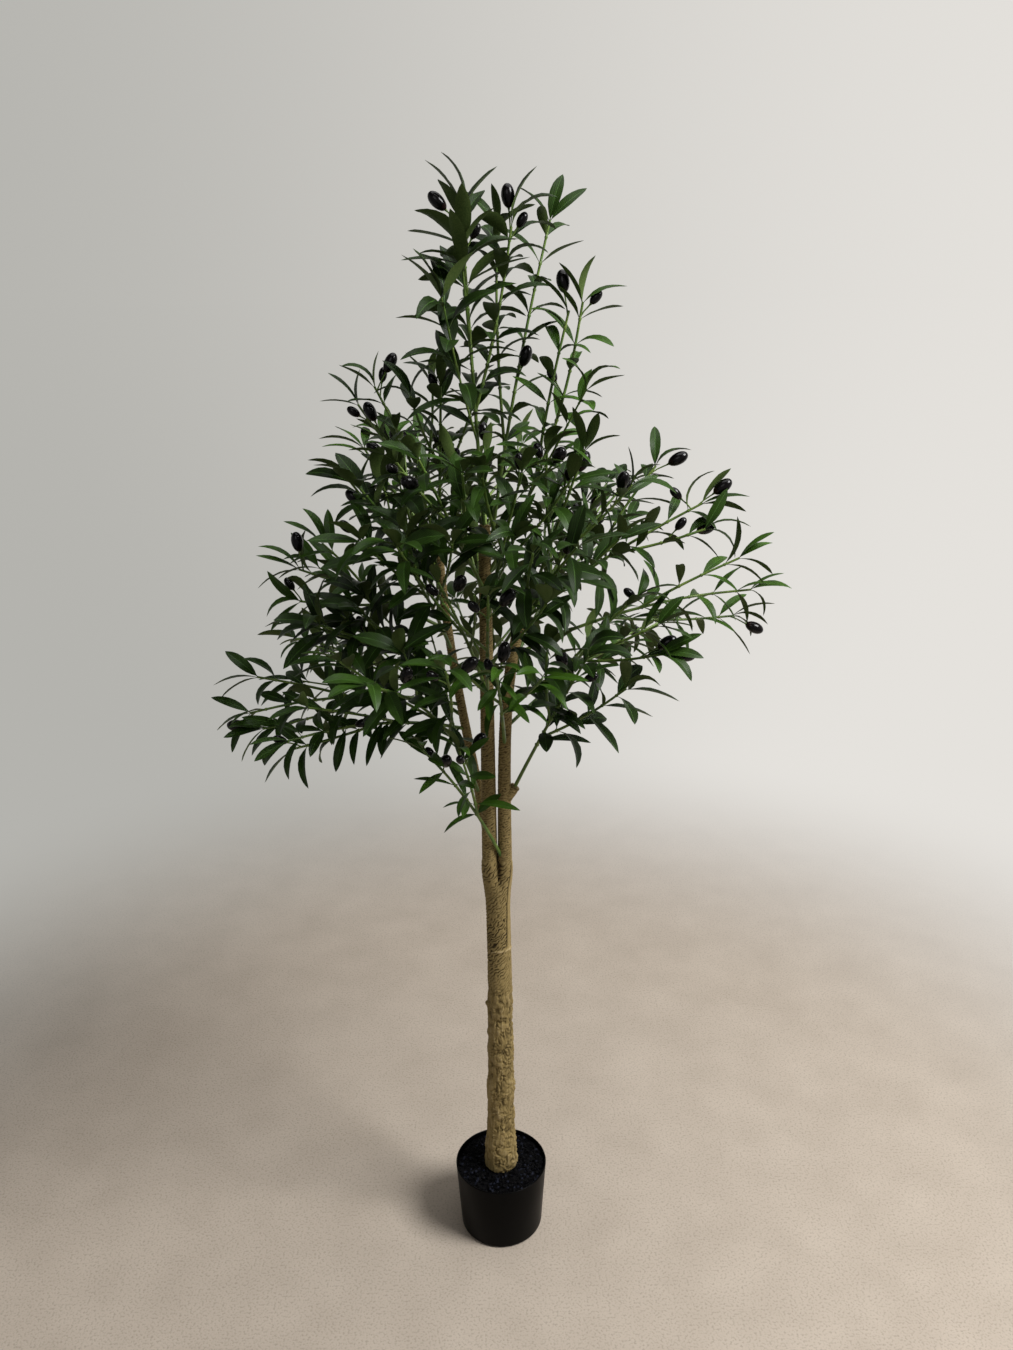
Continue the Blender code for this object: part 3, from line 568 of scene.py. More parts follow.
def olive_material(name, dark, light):
    """Hollow moulded olive with a dyed gloss lacquer: nearly black, with a sharp highlight."""
    lacquer = {"Coat_Weight": 0.28, "Coat_Roughness": 0.04}
    made, tree, shader = add_material(name, Roughness=0.25, Specular_IOR_Level=0.12, **lacquer)
    feed(shader, {"Base Color": mottled(tree, 0.02, dark, light)})
    return made


def pot_material():
    """Injection-moulded black polypropylene: near black, satin, with faint handling haze."""
    made, tree, shader = add_material("black_moulded_polypropylene", Specular_IOR_Level=0.07)
    haze = patches(tree, 0.05, 0.32, 0.42)
    bump = add_node(tree, "Bump", {"Height": patches(tree, 0.0011), "Strength": 0.06, "Distance": 0.0002})
    feed(shader, {"Base Color": mottled(tree, 0.06, "020202", "040404"), "Roughness": haze, "Normal": bump})
    return made


def crumb_material(name, dark, light):
    """Dyed shredded foam and peat crumbs, glued down: black, and for a few crumbs a pale bluish-grey that is
    a painted glint.
    """
    made, tree, shader = add_material(name, Roughness=0.45, Specular_IOR_Level=0.07)
    bump = add_node(tree, "Bump", {"Height": patches(tree, 0.0009), "Strength": 0.6, "Distance": 0.0006})
    feed(shader, {"Base Color": mottled(tree, 0.003, dark, light), "Normal": bump})
    return made


def concrete_material():
    """Trowelled concrete: matt, pale, clouded over a hand's breadth, with sandy pits."""
    made, tree, shader = add_material("trowelled_concrete", Roughness=0.85)
    body = mottled(tree, 0.12, "BFB2A3", "B5A899", detail=6.0)
    # Pits of 4 mm between the sand grains, coarser than the real ones so that they show.
    pits = patches(tree, 0.004, -0.5, 0.5, detail=2.0)
    pitted = add_node(tree, "Mix", {"Factor": pits, "A": body, "B": "8A8072"}, data_type="RGBA")
    bump = add_node(tree, "Bump", {"Height": pits, "Strength": 0.35, "Distance": 0.0006}, invert=True)
    feed(shader, {"Base Color": pitted, "Normal": bump})
    return made, tree, shader


# Meshes.


def add_mesh(name, points, faces, finishes, face_finish=None, uvs=None, sharp_angle=None):
    """An object on the tree, smooth but for edges over the sharp angle. uvs has one pair a point."""
    mesh = bpy.data.meshes.new(name)
    mesh.from_pydata([tuple(point) for point in points], [], faces)
    for finish in finishes:
        mesh.materials.append(finish)
    if face_finish is not None:
        mesh.polygons.foreach_set("material_index", face_finish)
    if uvs is not None:
        corners = np.empty(len(mesh.loops), np.int32)
        mesh.loops.foreach_get("vertex_index", corners)
        mesh.uv_layers.new(name="UVMap").data.foreach_set("uv", np.asarray(uvs, np.float32)[corners].ravel())
    mesh.shade_smooth()
    if sharp_angle:
        mesh.set_sharp_from_angle(angle=math.radians(sharp_angle))
    made = bpy.data.objects.new(name, mesh)
    bpy.context.scene.collection.objects.link(made)
    return made


def place(made, slot, *nodes):
    """Lets a piece ride with the tree, in place of its solids. The slot argument is not used."""
    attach(made, "root")
    if nodes:
        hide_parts(*nodes)
    return made


class Heap:
    """Collects many small shapes for one mesh."""

    def __init__(self):
        self.points, self.faces, self.finishes, self.uvs = [], [], [], []

    def add(self, shape, finishes=0, uvs=None):
        points, faces = shape
        base = len(self.points)
        self.points += points
        self.faces += [tuple(index + base for index in face) for face in faces]
        self.finishes += finishes if isinstance(finishes, list) else [finishes] * len(faces)
        if uvs is not None:
            self.uvs += uvs


def loft(rings):
    """A closed (points, faces) shape through rings of points that run anticlockwise seen from its far end."""
    sides = len(rings[0])
    points = [point for ring in rings for point in ring]
    faces = [tuple(reversed(range(sides)))]
    for low in range(0, len(points) - sides, sides):
        for side in range(sides):
            after = (side + 1) % sides
            faces.append((low + side, low + after, low + sides + after, low + sides + side))
    faces.append(tuple(range(len(points) - sides, len(points))))
    return points, faces


def tangents(path):
    """The direction of a path at each of its points."""
    last = len(path) - 1
    return [(path[min(i + 1, last)] - path[max(i - 1, 0)]).normalized() for i in range(last + 1)]


def tube(path, radii, sides):
    """A closed tube along a path, whose rings keep square to it without twisting."""
    rings = []
    across = None
    for point, along, radius in zip(path, tangents(path), radii):
        if across is None:
            across = along.orthogonal()
        across = (across - along * across.dot(along)).normalized()
        rings.append([point + turned(across, along, 360 * side / sides) * radius for side in range(sides)])
    return loft(rings)


def surface(shapes):
    """A search tree over one or more shapes."""
    points, faces = [], []
    for shape_points, shape_faces in shapes:
        faces += [tuple(index + len(points) for index in face) for face in shape_faces]
        points += shape_points
    return BVHTree.FromPolygons(points, faces)


def rounded(path, steps):
    """A smooth curve through a path's points, with so many steps between two of them."""
    ends = [path[0] * 2 - path[1], *path, path[-1] * 2 - path[-2]]
    curve = []
    for before, low, high, after in zip(ends, ends[1:], ends[2:], ends[3:]):
        for step in range(steps):
            t = step / steps
            curve.append(
                (
                    low * 2
                    + (high - before) * t
                    + (before * 2 - low * 5 + high * 4 - after) * t**2
                    + (low * 3 - before - high * 3 + after) * t**3
                )
                / 2
            )
    curve.append(path[-1].copy())
    return curve


def measured(path):
    """The distance along a path to each of its points."""
    lengths = [0.0]
    for low, high in zip(path, path[1:]):
        lengths.append(lengths[-1] + (high - low).length)
    return lengths


def spot(path, lengths, distance):
    """The point and the heading of a path at a distance along it."""
    segment = min(max(bisect.bisect_right(lengths, distance) - 1, 0), len(path) - 2)
    step = path[segment + 1] - path[segment]
    return path[segment] + step * ((distance - lengths[segment]) / step.length), step.normalized()


# The pot and its filler.


def quarter_round(radius, height, size, turn):
    """A quarter circle of an outline, about its centre, anticlockwise from a turn in degrees."""
    turns = [math.radians(turn + 90 * step / POT_ROUND_STEPS) for step in range(POT_ROUND_STEPS + 1)]
    return [(radius + size * math.cos(around), height + size * math.sin(around)) for around in turns]


def pot_profile():
    """The wall's outline as (radius, height), from the underside's middle round to the floor's middle."""
    foot = quarter_round(POT_BASE_RADIUS - POT_FOOT_ROUND, POT_FOOT_ROUND, POT_FOOT_ROUND, -90)
    top = POT_HEIGHT - POT_RIM_ROUND
    outer = quarter_round(POT_TOP_RADIUS - POT_RIM_ROUND, top, POT_RIM_ROUND, 0)
    inner = quarter_round(POT_TOP_RADIUS - POT_WALL + POT_RIM_ROUND, top, POT_RIM_ROUND, 90)[1:]
    return [(0.0, 0.0), *foot, *outer, *inner, (POT_BASE_RADIUS - POT_WALL, POT_FLOOR), (0.0, POT_FLOOR)]


def turned_shape(profile, sides):
    """A closed shape turned about +Z from a (radius, height) outline that starts and ends on the axis."""
    first, *middle, last = profile
    points = [Vector((0, 0, first[1])), Vector((0, 0, last[1]))]
    for radius, height in middle:
        for side in range(sides):
            turn = math.tau * side / sides
            points.append(Vector((radius * math.cos(turn), radius * math.sin(turn), height)))
    faces = []
    for side in range(sides):
        after = (side + 1) % sides
        faces.append((0, 2 + after, 2 + side))
        for low in range(2, len(points) - sides, sides):
            faces.append((low + side, low + after, low + sides + after, low + sides + side))
        faces.append((1, len(points) - sides + side, len(points) - sides + after))
    return points, faces


def pot_inner_radius(height):
    return mix(POT_BASE_RADIUS, POT_TOP_RADIUS, height / POT_HEIGHT) - POT_WALL


def filler_top(radius, edge):
    """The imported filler's level at a distance from the pot's middle."""
    return mix(GROUND, POT_HEIGHT - FILLER_BELOW_RIM, ease(radius / edge)) - GAP


def add_pot():
    points, faces = turned_shape(pot_profile(), POT_SIDES)
    made = add_mesh("pot_shell", points, faces, [pot_material()], sharp_angle=40)
    place(made, "pot", "pot")


def filler_bed_shape(edge):
    """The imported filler: a lumpy top out to its edge, and down to the pot's floor."""
    points = [Vector((0, 0, GROUND - GAP))]
    for ring in range(1, CRUMB_RINGS + 1):
        radius = edge * ring / CRUMB_RINGS
        for side in range(CRUMB_SIDES):
            turn = math.tau * side / CRUMB_SIDES
            point = Vector((radius * math.cos(turn), radius * math.sin(turn), filler_top(radius, edge)))
            lumps = noise.noise(point / CRUMB_LUMP)
            lumps += SMALL_LUMP * noise.noise(point / (CRUMB_LUMP / SMALL_LUMP_FINER))
            point.z += CRUMB_RELIEF * lumps
            points.append(point)
    foot = pot_inner_radius(POT_FLOOR) - GAP
    for side in range(CRUMB_SIDES):
        turn = math.tau * side / CRUMB_SIDES
        points.append(Vector((foot * math.cos(turn), foot * math.sin(turn), POT_FLOOR + GAP)))
    points.append(Vector((0, 0, POT_FLOOR + GAP)))
    faces = []
    for side in range(CRUMB_SIDES):
        after = (side + 1) % CRUMB_SIDES
        faces.append((0, 1 + side, 1 + after))
        for ring in range(CRUMB_RINGS):
            low = 1 + ring * CRUMB_SIDES
            faces.append((low + side, low + CRUMB_SIDES + side, low + CRUMB_SIDES + after, low + after))
        low = 1 + CRUMB_RINGS * CRUMB_SIDES
        faces.append((len(points) - 1, low + after, low + side))
    return points, faces


def add_filler():
    """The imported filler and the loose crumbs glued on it."""
    edge = pot_inner_radius(POT_HEIGHT - FILLER_BELOW_RIM) - GAP
    packed = crumb_material("packed_black_peat", "020203", "060608")
    place(add_mesh("filler_bed", *filler_bed_shape(edge), [packed]), "filler", "filler")

    chance = random.Random(CRUMB_SEED)
    heap = Heap()
    for _ in range(CRUMB_COUNT):
        radius = edge * CRUMB_REACH * math.sqrt(chance.random())
        turn = chance.uniform(0, math.tau)
        size = chance.uniform(*CRUMB_SIZES)
        level = filler_top(radius, edge) + size / 2
        middle = Vector((radius * math.cos(turn), radius * math.sin(turn), level))
        if radius < TRUNK_FOOT_RADIUS + FLARE_RADIUS:
            continue
        heap.add(crumb_shape(middle, size, chance), chance.choice(CRUMB_FINISHES))
    dull = crumb_material("loose_black_peat", "030304", "08080A")
    # Painted highlight: these crumbs are coloured pale bluish-grey to stand for glints.
    painted_glint = crumb_material("peat_with_painted_glint", "14161E", "252834")
    made = add_mesh("filler_crumbs", heap.points, heap.faces, [dull, painted_glint], heap.finishes, sharp_angle=35)
    place(made, "filler")


def crumb_shape(middle, size, chance):
    """One crumb: an eight-sided lump with its corners pushed about."""
    axis = Vector([chance.uniform(-1, 1) for _ in range(3)]).normalized()
    spin = Quaternion(axis, chance.uniform(0, math.tau))
    points = []
    for x, y, z in ((1, 0, 0), (0, 1, 0), (-1, 0, 0), (0, -1, 0), (0, 0, 1), (0, 0, -1)):
        corner = spin @ Vector((x, y, z)) * size * chance.uniform(*CRUMB_CORNERS)
        corner.z *= CRUMB_SQUASH
        points.append(middle + corner)
    faces = [(0, 1, 4), (1, 2, 4), (2, 3, 4), (3, 0, 4), (1, 0, 5), (2, 1, 5), (3, 2, 5), (0, 3, 5)]
    return points, faces


# The trunk and the stems.


def trunk_oval(height):
    """The trunk's middle and its two half widths at a height."""
    share = (height - GROUND) / (TRUNK_WAIST_HEIGHT - GROUND)
    radius = mix(TRUNK_FOOT_RADIUS, TRUNK_WAIST_RADIUS, min(share, 1.0))
    radius += FLARE_RADIUS * hump(height - GROUND, FLARE_HEIGHT)
    swell = ease((height - FORK_HEIGHT + FORK_LENGTH) / FORK_LENGTH)
    bow = TRUNK_LEAN * math.sin(math.pi * (height - GROUND) / (FORK_HEIGHT - GROUND))
    wide, deep = mix(radius, FORK_HALF_WIDTH, swell), mix(radius, FORK_HALF_DEPTH, swell)
    return Vector((bow, FORK_SHIFT * swell, height)), wide, deep


def trunk_shape():
    rings = []
    for ring in range(TRUNK_RINGS + 1):
        middle, wide, deep = trunk_oval(mix(GROUND, FORK_HEIGHT, ring / TRUNK_RINGS))
        turns = [math.tau * side / TRUNK_SIDES for side in range(TRUNK_SIDES)]
        rings.append([middle + Vector((wide * math.cos(turn), deep * math.sin(turn), 0)) for turn in turns])
    return loft(rings)


def limb_path(limb, steps=LIMB_STEPS):
    path = [Vector((limb.x, limb.y, FORK_HEIGHT + GAP))]
    for step in range(steps):
        share = (step + 0.5) / steps
        lean = mix(limb.foot_lean, limb.tip_lean, share**3)
        path.append(path[-1] + aim(limb.bearing, 90 - lean) * (limb.length / steps))
    return path


def limb_shape(limb):
    path = limb_path(limb)
    radii = [mix(limb.foot_radius, limb.tip_radius, step / LIMB_STEPS) for step in range(LIMB_STEPS + 1)]
    points, faces = tube(path, radii, LIMB_SIDES)
    for point in points[:LIMB_SIDES]:
        point.z = FORK_HEIGHT + GAP
    return points, faces


def stub_path(path):
    """The short side stub low on the right stem, from the stem's middle outwards."""
    root = point_at_height(path, STUB_HEIGHT)
    return [root, root + aim(STUB_BEARING, STUB_RISE) * STUB_LENGTH]


def point_at_height(path, height):
    """The point of an upright path at a height, or its end if it stops lower."""
    for low, high in zip(path, path[1:]):
        if high.z >= height:
            return low.lerp(high, (height - low.z) / (high.z - low.z))
    return path[-1].copy()


def folds(point, turn):
    """Crumpled folds that come and go, and upright flutes: (height, darkness), where darkness is painted
    shade, 1 in a crease and more in the flutes' grooves.
    """
    stretched = Vector((point.x, point.y, point.z * FOLD_STRETCH))
    warped = (stretched + noise.noise_vector(stretched / FOLD_WARP_SIZE) * FOLD_WARP) / FOLD_SIZE
    large, small = abs(noise.noise(warped)), abs(noise.noise(warped * SMALL_FOLD_FINER))
    height = (ease(large / FOLD_WIDTH) + SMALL_FOLD * ease(small / FOLD_WIDTH)) / (1 + SMALL_FOLD)
    facing = math.cos(turn - math.radians(FOLD_TURN))
    patchy = FOLDS_BY_PATCH * noise.noise(point / FOLD_BREAK_SIZE)
    kept = ease(FOLDS_EVERYWHERE + FOLDS_TOWARDS_TURN * facing + patchy)
    flute = noise.noise(Vector((point.x / FLUTE_SIZE, point.y / FLUTE_SIZE, point.z / FLUTE_LENGTH)))
    dark = max(hump(large, FOLD_CREASE), SMALL_FOLD * hump(small, FOLD_CREASE))
    return mix(NO_FOLD_LEVEL, height, kept) + FLUTE_SHARE * flute, dark * kept - FLUTE_PAINTED_SHADE * flute


def weave(point, turn, along, pitch, ridges):
    """Short slanted ridges that wander and break off: 1 on a ridge's back, -1 in the gap beside it."""
    slip = WEAVE_SLIP * noise.noise(point / (WEAVE_SLIP_SIZE * pitch))
    slip += WEAVE_WOBBLE * noise.noise(point / (WEAVE_WOBBLE_SIZE * pitch))
    everywhere, patchy = WEAVE_BREAKS
    broken = ease(everywhere + patchy * noise.noise(point / (WEAVE_BREAK_SIZE * pitch)))
    return mix(math.sin(math.tau * along / pitch - ridges * turn + slip), WEAVE_BROKEN, broken)


def bark(point, turn, along, pitch, ridges, folded, depth):
    """The bark's height over the bare limb at a point, and its tone, part weave and part folds: painted shade
    in gaps and creases, and a painted highlight on ridges and fold tops.
    """
    grain = noise.noise(point / GRAIN_SIZE)
    lump = noise.noise(point / LUMP_SIZE)
    gap = ((1 - weave(point, turn, along, pitch, ridges)) / 2) ** 2 * depth if folded < 1 else 0.0
    fold, dark = folds(point, turn) if folded > 0 else (1.0, 0.0)
    fold_rise = FOLD_DEPTH * (fold - FOLD_LEVEL) + LUMP_DEPTH * lump
    # Painted highlight on fold tops and lumps, painted shade in creases.
    fold_tone = FOLD_FOOT_TONE + FOLD_TOP_PAINTED_HIGHLIGHT * fold + LUMP_PAINTED_SHADING * lump + FOLD_CREASE_PAINTED_SHADE * dark
    rise = mix(WEAVE_DEPTH * pitch * (WEAVE_LEVEL - gap), fold_rise, folded)
    # Painted shade in the weave's gaps, painted highlight on its ridges.
    tone = mix(WEAVE_RIDGE_PAINTED_HIGHLIGHT + GAP_PAINTED_SHADE * gap, fold_tone, folded)
    return rise + GRAIN_DEPTH * grain, tone + GRAIN_TONE * grain


def ridges_round(radius, pitch, slant):
    """How many ridges start round a limb, for them to climb at a slant."""
    return round(math.tau * radius * slant / pitch)


def fork_radius(height, turn):
    """How far the stems' feet, and the web between them, reach from the fork's middle towards a turn."""
    heading = Vector((math.cos(turn), math.sin(turn)))
    past = min(max(height - FORK_HEIGHT, 0.0) / FORK_RISE, 1.0)
    skin = mix(FORK_SKIN, FORK_SKIN_ENDS, ease(past))
    reaches = [FORK_WEB * math.sqrt(1 - past**2)]
    for limb in LIMBS:
        out = math.tan(math.radians(limb.foot_lean)) * max(height - FORK_HEIGHT, 0.0)
        centre = Vector((limb.x, limb.y - FORK_SHIFT)) + aim(limb.bearing, 0).to_2d() * out
        along = heading.dot(centre)
        inside = (limb.foot_radius + skin) ** 2 - centre.length_squared + along**2
        if inside > 0:
            reaches.append(max(along + math.sqrt(inside), 0.0))
    return sum(reach**FORK_SHARPNESS for reach in reaches) ** (1 / FORK_SHARPNESS)


def off_turn(turn, degrees, radius):
    """The distance round the trunk from a turn given in degrees."""
    return ((turn - math.radians(degrees) + math.pi) % math.tau - math.pi) * radius


def trunk_skin(height, turn):
    """The middle of the trunk, its radius towards a turn, and how far the stems' lobes show in it."""
    middle, wide, deep = trunk_oval(min(max(height, GROUND), FORK_HEIGHT))
    middle.z = height
    radius = 1 / math.hypot(math.cos(turn) / wide, math.sin(turn) / deep)
    lobed = ease((height - FORK_HEIGHT + FORK_LOBES_FROM) / FORK_LOBES_FROM)
    if lobed > 0:
        radius = mix(radius, fork_radius(height, turn), lobed)
    below = min(max(1 - (height - GROUND) / FOOT_ROUND, 0.0), 1.0)
    return middle, radius - FOOT_TUCK * (1 - math.sqrt(1 - below**2)), lobed


def trunk_bark(height, turn):
    """A point of the trunk's bark and its tone, with painted shade in the seam and the fork's crease and a
    painted highlight on the lip.
    """
    middle, radius, lobed = trunk_skin(height, turn)
    outward = Vector((math.cos(turn), math.sin(turn), 0))
    point = middle + outward * radius
    folded = 1 - ease((height - WEAVE_FROM) / (WEAVE_WHOLE - WEAVE_FROM))
    ridges = ridges_round(TRUNK_WAIST_RADIUS, TRUNK_WEAVE, TRUNK_SLANT)
    depth = WEAVE_EVEN + WEAVE_PATCHY * noise.noise(point / WEAVE_PATCH)
    depth += DEEP_WEAVE * hump(height - DEEP_WEAVE_HEIGHT, DEEP_WEAVE_LENGTH)
    rise, tone = bark(point, turn, height, TRUNK_WEAVE, ridges, folded, max(depth, WEAVE_LEAST))

    climbed = (height - SEAM_FOOT) / (FORK_HEIGHT - SEAM_FOOT)
    if climbed > 0:
        past = off_turn(turn, mix(SEAM_TURN_FOOT, SEAM_TURN_TOP, climbed), radius)
        past += SEAM_WANDER * noise.noise(Vector((0, 0, height / SEAM_WANDER_LENGTH)))
        if 0 < past < SEAM_SMOOTH_WIDTH:
            rise *= SEAM_SMOOTH_SHARE
            tone = SEAM_SMOOTH_TONE + tone * SEAM_SMOOTH_SHARE
        groove = hump(past, SEAM_WIDTH) * ease(climbed / SEAM_RUN_IN)
        rise -= SEAM_DEPTH * groove
        # Painted shade in the seam's groove.
        tone += SEAM_PAINTED_SHADE * groove
    lip_facing = ease(math.cos(turn - math.radians(LIP_TURN)) * LIP_SPAN)
    lip = hump(height - SEAM_FOOT + LIP_CLIMB * (1 - lip_facing), LIP_HEIGHT) * lip_facing
    rise += LIP_DEPTH * lip
    # Painted highlight on the lip.
    tone += LIP_PAINTED_HIGHLIGHT * lip

    crease = hump(off_turn(turn, FORK_CREASE_TURN, radius), FORK_CREASE_WIDTH) * lobed
    rise -= FORK_CREASE_DEPTH * crease
    # Painted shade in the crease between the stems' feet.
    tone += FORK_CREASE_PAINTED_SHADE * crease
    for knot_height, knot_depth in KNOTS:
        away = Vector((off_turn(turn, KNOT_TURN, radius), height - knot_height)).length
        rise += knot_depth * hump(away, KNOT_SIZE)
    rise += BULGE_DEPTH * hump(height - BULGE_HEIGHT, BULGE_LENGTH)
    return point + outward * rise, tone


def grid_faces(rings, sides):
    """Faces between rings of points, and one over each end."""
    faces = []
    for low in range(0, (rings - 1) * sides, sides):
        for side in range(sides):
            after = (side + 1) % sides
            faces.append((low + side, low + after, low + sides + after, low + sides + side))
    faces.append(tuple(reversed(range(sides))))
    faces.append(tuple(range((rings - 1) * sides, rings * sides)))
    return faces


def add_bark(name, points, faces, tones, finish, *nodes):
    made = add_mesh(name, points, faces, [finish])
    # The tone carries the grain and the painted shade and highlight to the bark material.
    made.data.attributes.new("bark_grain_and_painted_shading", "FLOAT", "POINT").data.foreach_set("value", tones)
    return place(made, "bark", *nodes)


def add_trunk(finish):
    foot, top = GROUND - FOOT_SUNK, FORK_HEIGHT + FORK_RISE
    rings = round((top - foot) / TRUNK_STEP)
    sides = round(math.tau * TRUNK_FOOT_RADIUS / TRUNK_STEP)
    points, tones = [], []
    for ring in range(rings + 1):
        height = mix(foot, top, ring / rings)
        for side in range(sides):
            point, tone = trunk_bark(height, math.tau * side / sides)
            points.append(point)
            tones.append(tone)
    add_bark("trunk_bark", points, grid_faces(rings + 1, sides), tones, finish, "trunk")


def limb_bark(path, foot_radius, tip_radius, sides, ridges):
    """Bark round a path, with a rounded far end: (points, faces, tones)."""
    lengths = measured(path)
    whole = lengths[-1]
    stops = [whole * step / round(whole / STEM_STEP) for step in range(round(whole / STEM_STEP))]
    radii = [mix(foot_radius, tip_radius, stop / whole) for stop in stops]
    for step in range(TIP_STEPS + 1):
        turn = math.radians(TIP_ROUND * step / TIP_STEPS)
        stops.append(whole - tip_radius * TIP_FLATNESS * (1 - math.sin(turn)))
        radii.append(tip_radius * math.cos(turn))
    order = sorted(range(len(stops)), key=lambda i: (stops[i], -radii[i]))
    points, tones = [], []
    across = Vector((1, 0, 0))
    for index in order:
        stop, radius = stops[index], radii[index]
        middle, heading = spot(path, lengths, stop)
        across = (across - heading * across.dot(heading)).normalized()
        square = heading.cross(across)
        for side in range(sides):
            turn = math.tau * side / sides
            outward = across * math.cos(turn) + square * math.sin(turn)
            point = middle + outward * radius
            rise, tone = bark(point, turn, stop, STEM_WEAVE, ridges, 0.0, STEM_WEAVE_DEPTH)
            points.append(point + outward * rise * min(radius / tip_radius, 1.0))
            tones.append(tone)
    return points, grid_faces(len(order), sides), tones


def add_stems(finish):
    """Adds the three stems' bark. It returns each limb's centre line by name, and a surface over them all."""
    paths = {}
    shapes = [trunk_shape()]
    for limb in LIMBS:
        paths[limb.name] = limb_path(limb)
        shapes.append(limb_shape(limb))
        sides = round(math.tau * limb.foot_radius / STEM_STEP)
        ridges = ridges_round(limb.foot_radius, STEM_WEAVE, STEM_SLANT)
        line = rounded(paths[limb.name], SMOOTH_STEPS)
        points, faces, tones = limb_bark(line, limb.foot_radius, limb.tip_radius, sides, ridges)
        if limb.name == STUB_LIMB:
            stub = paths["stub"] = stub_path(paths[limb.name])
            shapes.append(tube(stub, (STUB_RADIUS, STUB_RADIUS), LIMB_SIDES))
            sides = round(math.tau * STUB_BARK_FOOT_RADIUS / STEM_STEP)
            more = limb_bark(stub, STUB_BARK_FOOT_RADIUS, STUB_BARK_RADIUS, sides, STUB_RIDGES)
            faces += [tuple(index + len(points) for index in face) for face in more[1]]
            points += more[0]
            tones += more[2]
        add_bark(limb.name + "_bark", points, faces, tones, finish, limb.name)
    return paths, surface(shapes)


# The sprays' twigs. One rule grows them all, from the row and from a random stream.


def spray_side(spray, along):
    """Across the fan, square to the stem."""
    level = aim(spray.bearing + 90, 0)
    return turned((level - along * level.dot(along)).normalized(), along, spray.roll)


def stem_path(spray, root):
    path = [root]
    for step in range(STEM_STEPS):
        share = (step + 0.5) / STEM_STEPS
        rise = spray.rise + spray.bend * (1 - 2 * share)
        path.append(path[-1] + aim(spray.bearing, rise) * (spray.reach / STEM_STEPS))
    return path


def sprig_path(spray, stem, fork, spread, lift, length, roll=0):
    """A side sprig: it leaves the stem at its fork, turned off it, and bends back towards its course."""
    at = fork * STEM_STEPS
    root = stem[int(at)].lerp(stem[int(at) + 1], at - int(at))
    along = tangents(stem)[int(at)]
    side = turned(spray_side(spray, along), along, roll)
    hinge = along.cross(side)
    path = [root]
    for step in range(SPRIG_STEPS):
        share = (step + 0.5) / SPRIG_STEPS
        heading = turned(turned(along, hinge, spread * (1 - SPRIG_RETURN * share)), side, lift)
        path.append(path[-1] + heading * (length / SPRIG_STEPS))
    return path


def seat(path, limb_surface, radius):
    """Cuts the path's inner end back to where a twig round it starts clear of the limb it is plugged into."""
    along = (path[1] - path[0]).normalized()
    rim = [point - path[0] for point in tube(path[:2], (radius, radius), TWIG_SIDES)[0][:TWIG_SIDES]]
    rim += [low.lerp(high, share) for low, high in zip(rim, rim[1:] + rim[:1]) for share in (0.25, 0.5, 0.75)]

    def is_clear(reach):
        for offset in rim:
            point = path[0] + along * reach + offset
            near, normal, _, distance = limb_surface.find_nearest(point)
            if (point - near).dot(normal) < 0 or distance < GAP:
                return False
        return True

    inside, outside = 0.0, (path[1] - path[0]).length
    while not is_clear(outside):
        outside += radius
    for _ in range(SEAT_STEPS):
        middle = (inside + outside) / 2
        if is_clear(middle):
            outside = middle
        else:
            inside = middle
    start = path[0] + along * outside
    later = [point for point in path[1:] if (point - path[0]).dot(along) > outside + radius]
    return [start] + later


def twig_shape(path, foot_radius):
    last = len(path) - 1
    radii = [mix(foot_radius, TWIG_TIP_RADIUS, step / last) for step in range(last + 1)]
    return tube(path, radii, TWIG_SIDES)


def hits(shape, others, clear):
    """Whether a shape crosses one of the other surfaces, or has a corner nearer to it than clear."""
    tree = surface([shape])
    for other in others:
        if tree.overlap(other) or any(other.find_nearest(point, clear)[0] is not None for point in shape[0]):
            return True
    return False


Twig = namedtuple("Twig", "path bare foot_radius tip_radius shape rank")


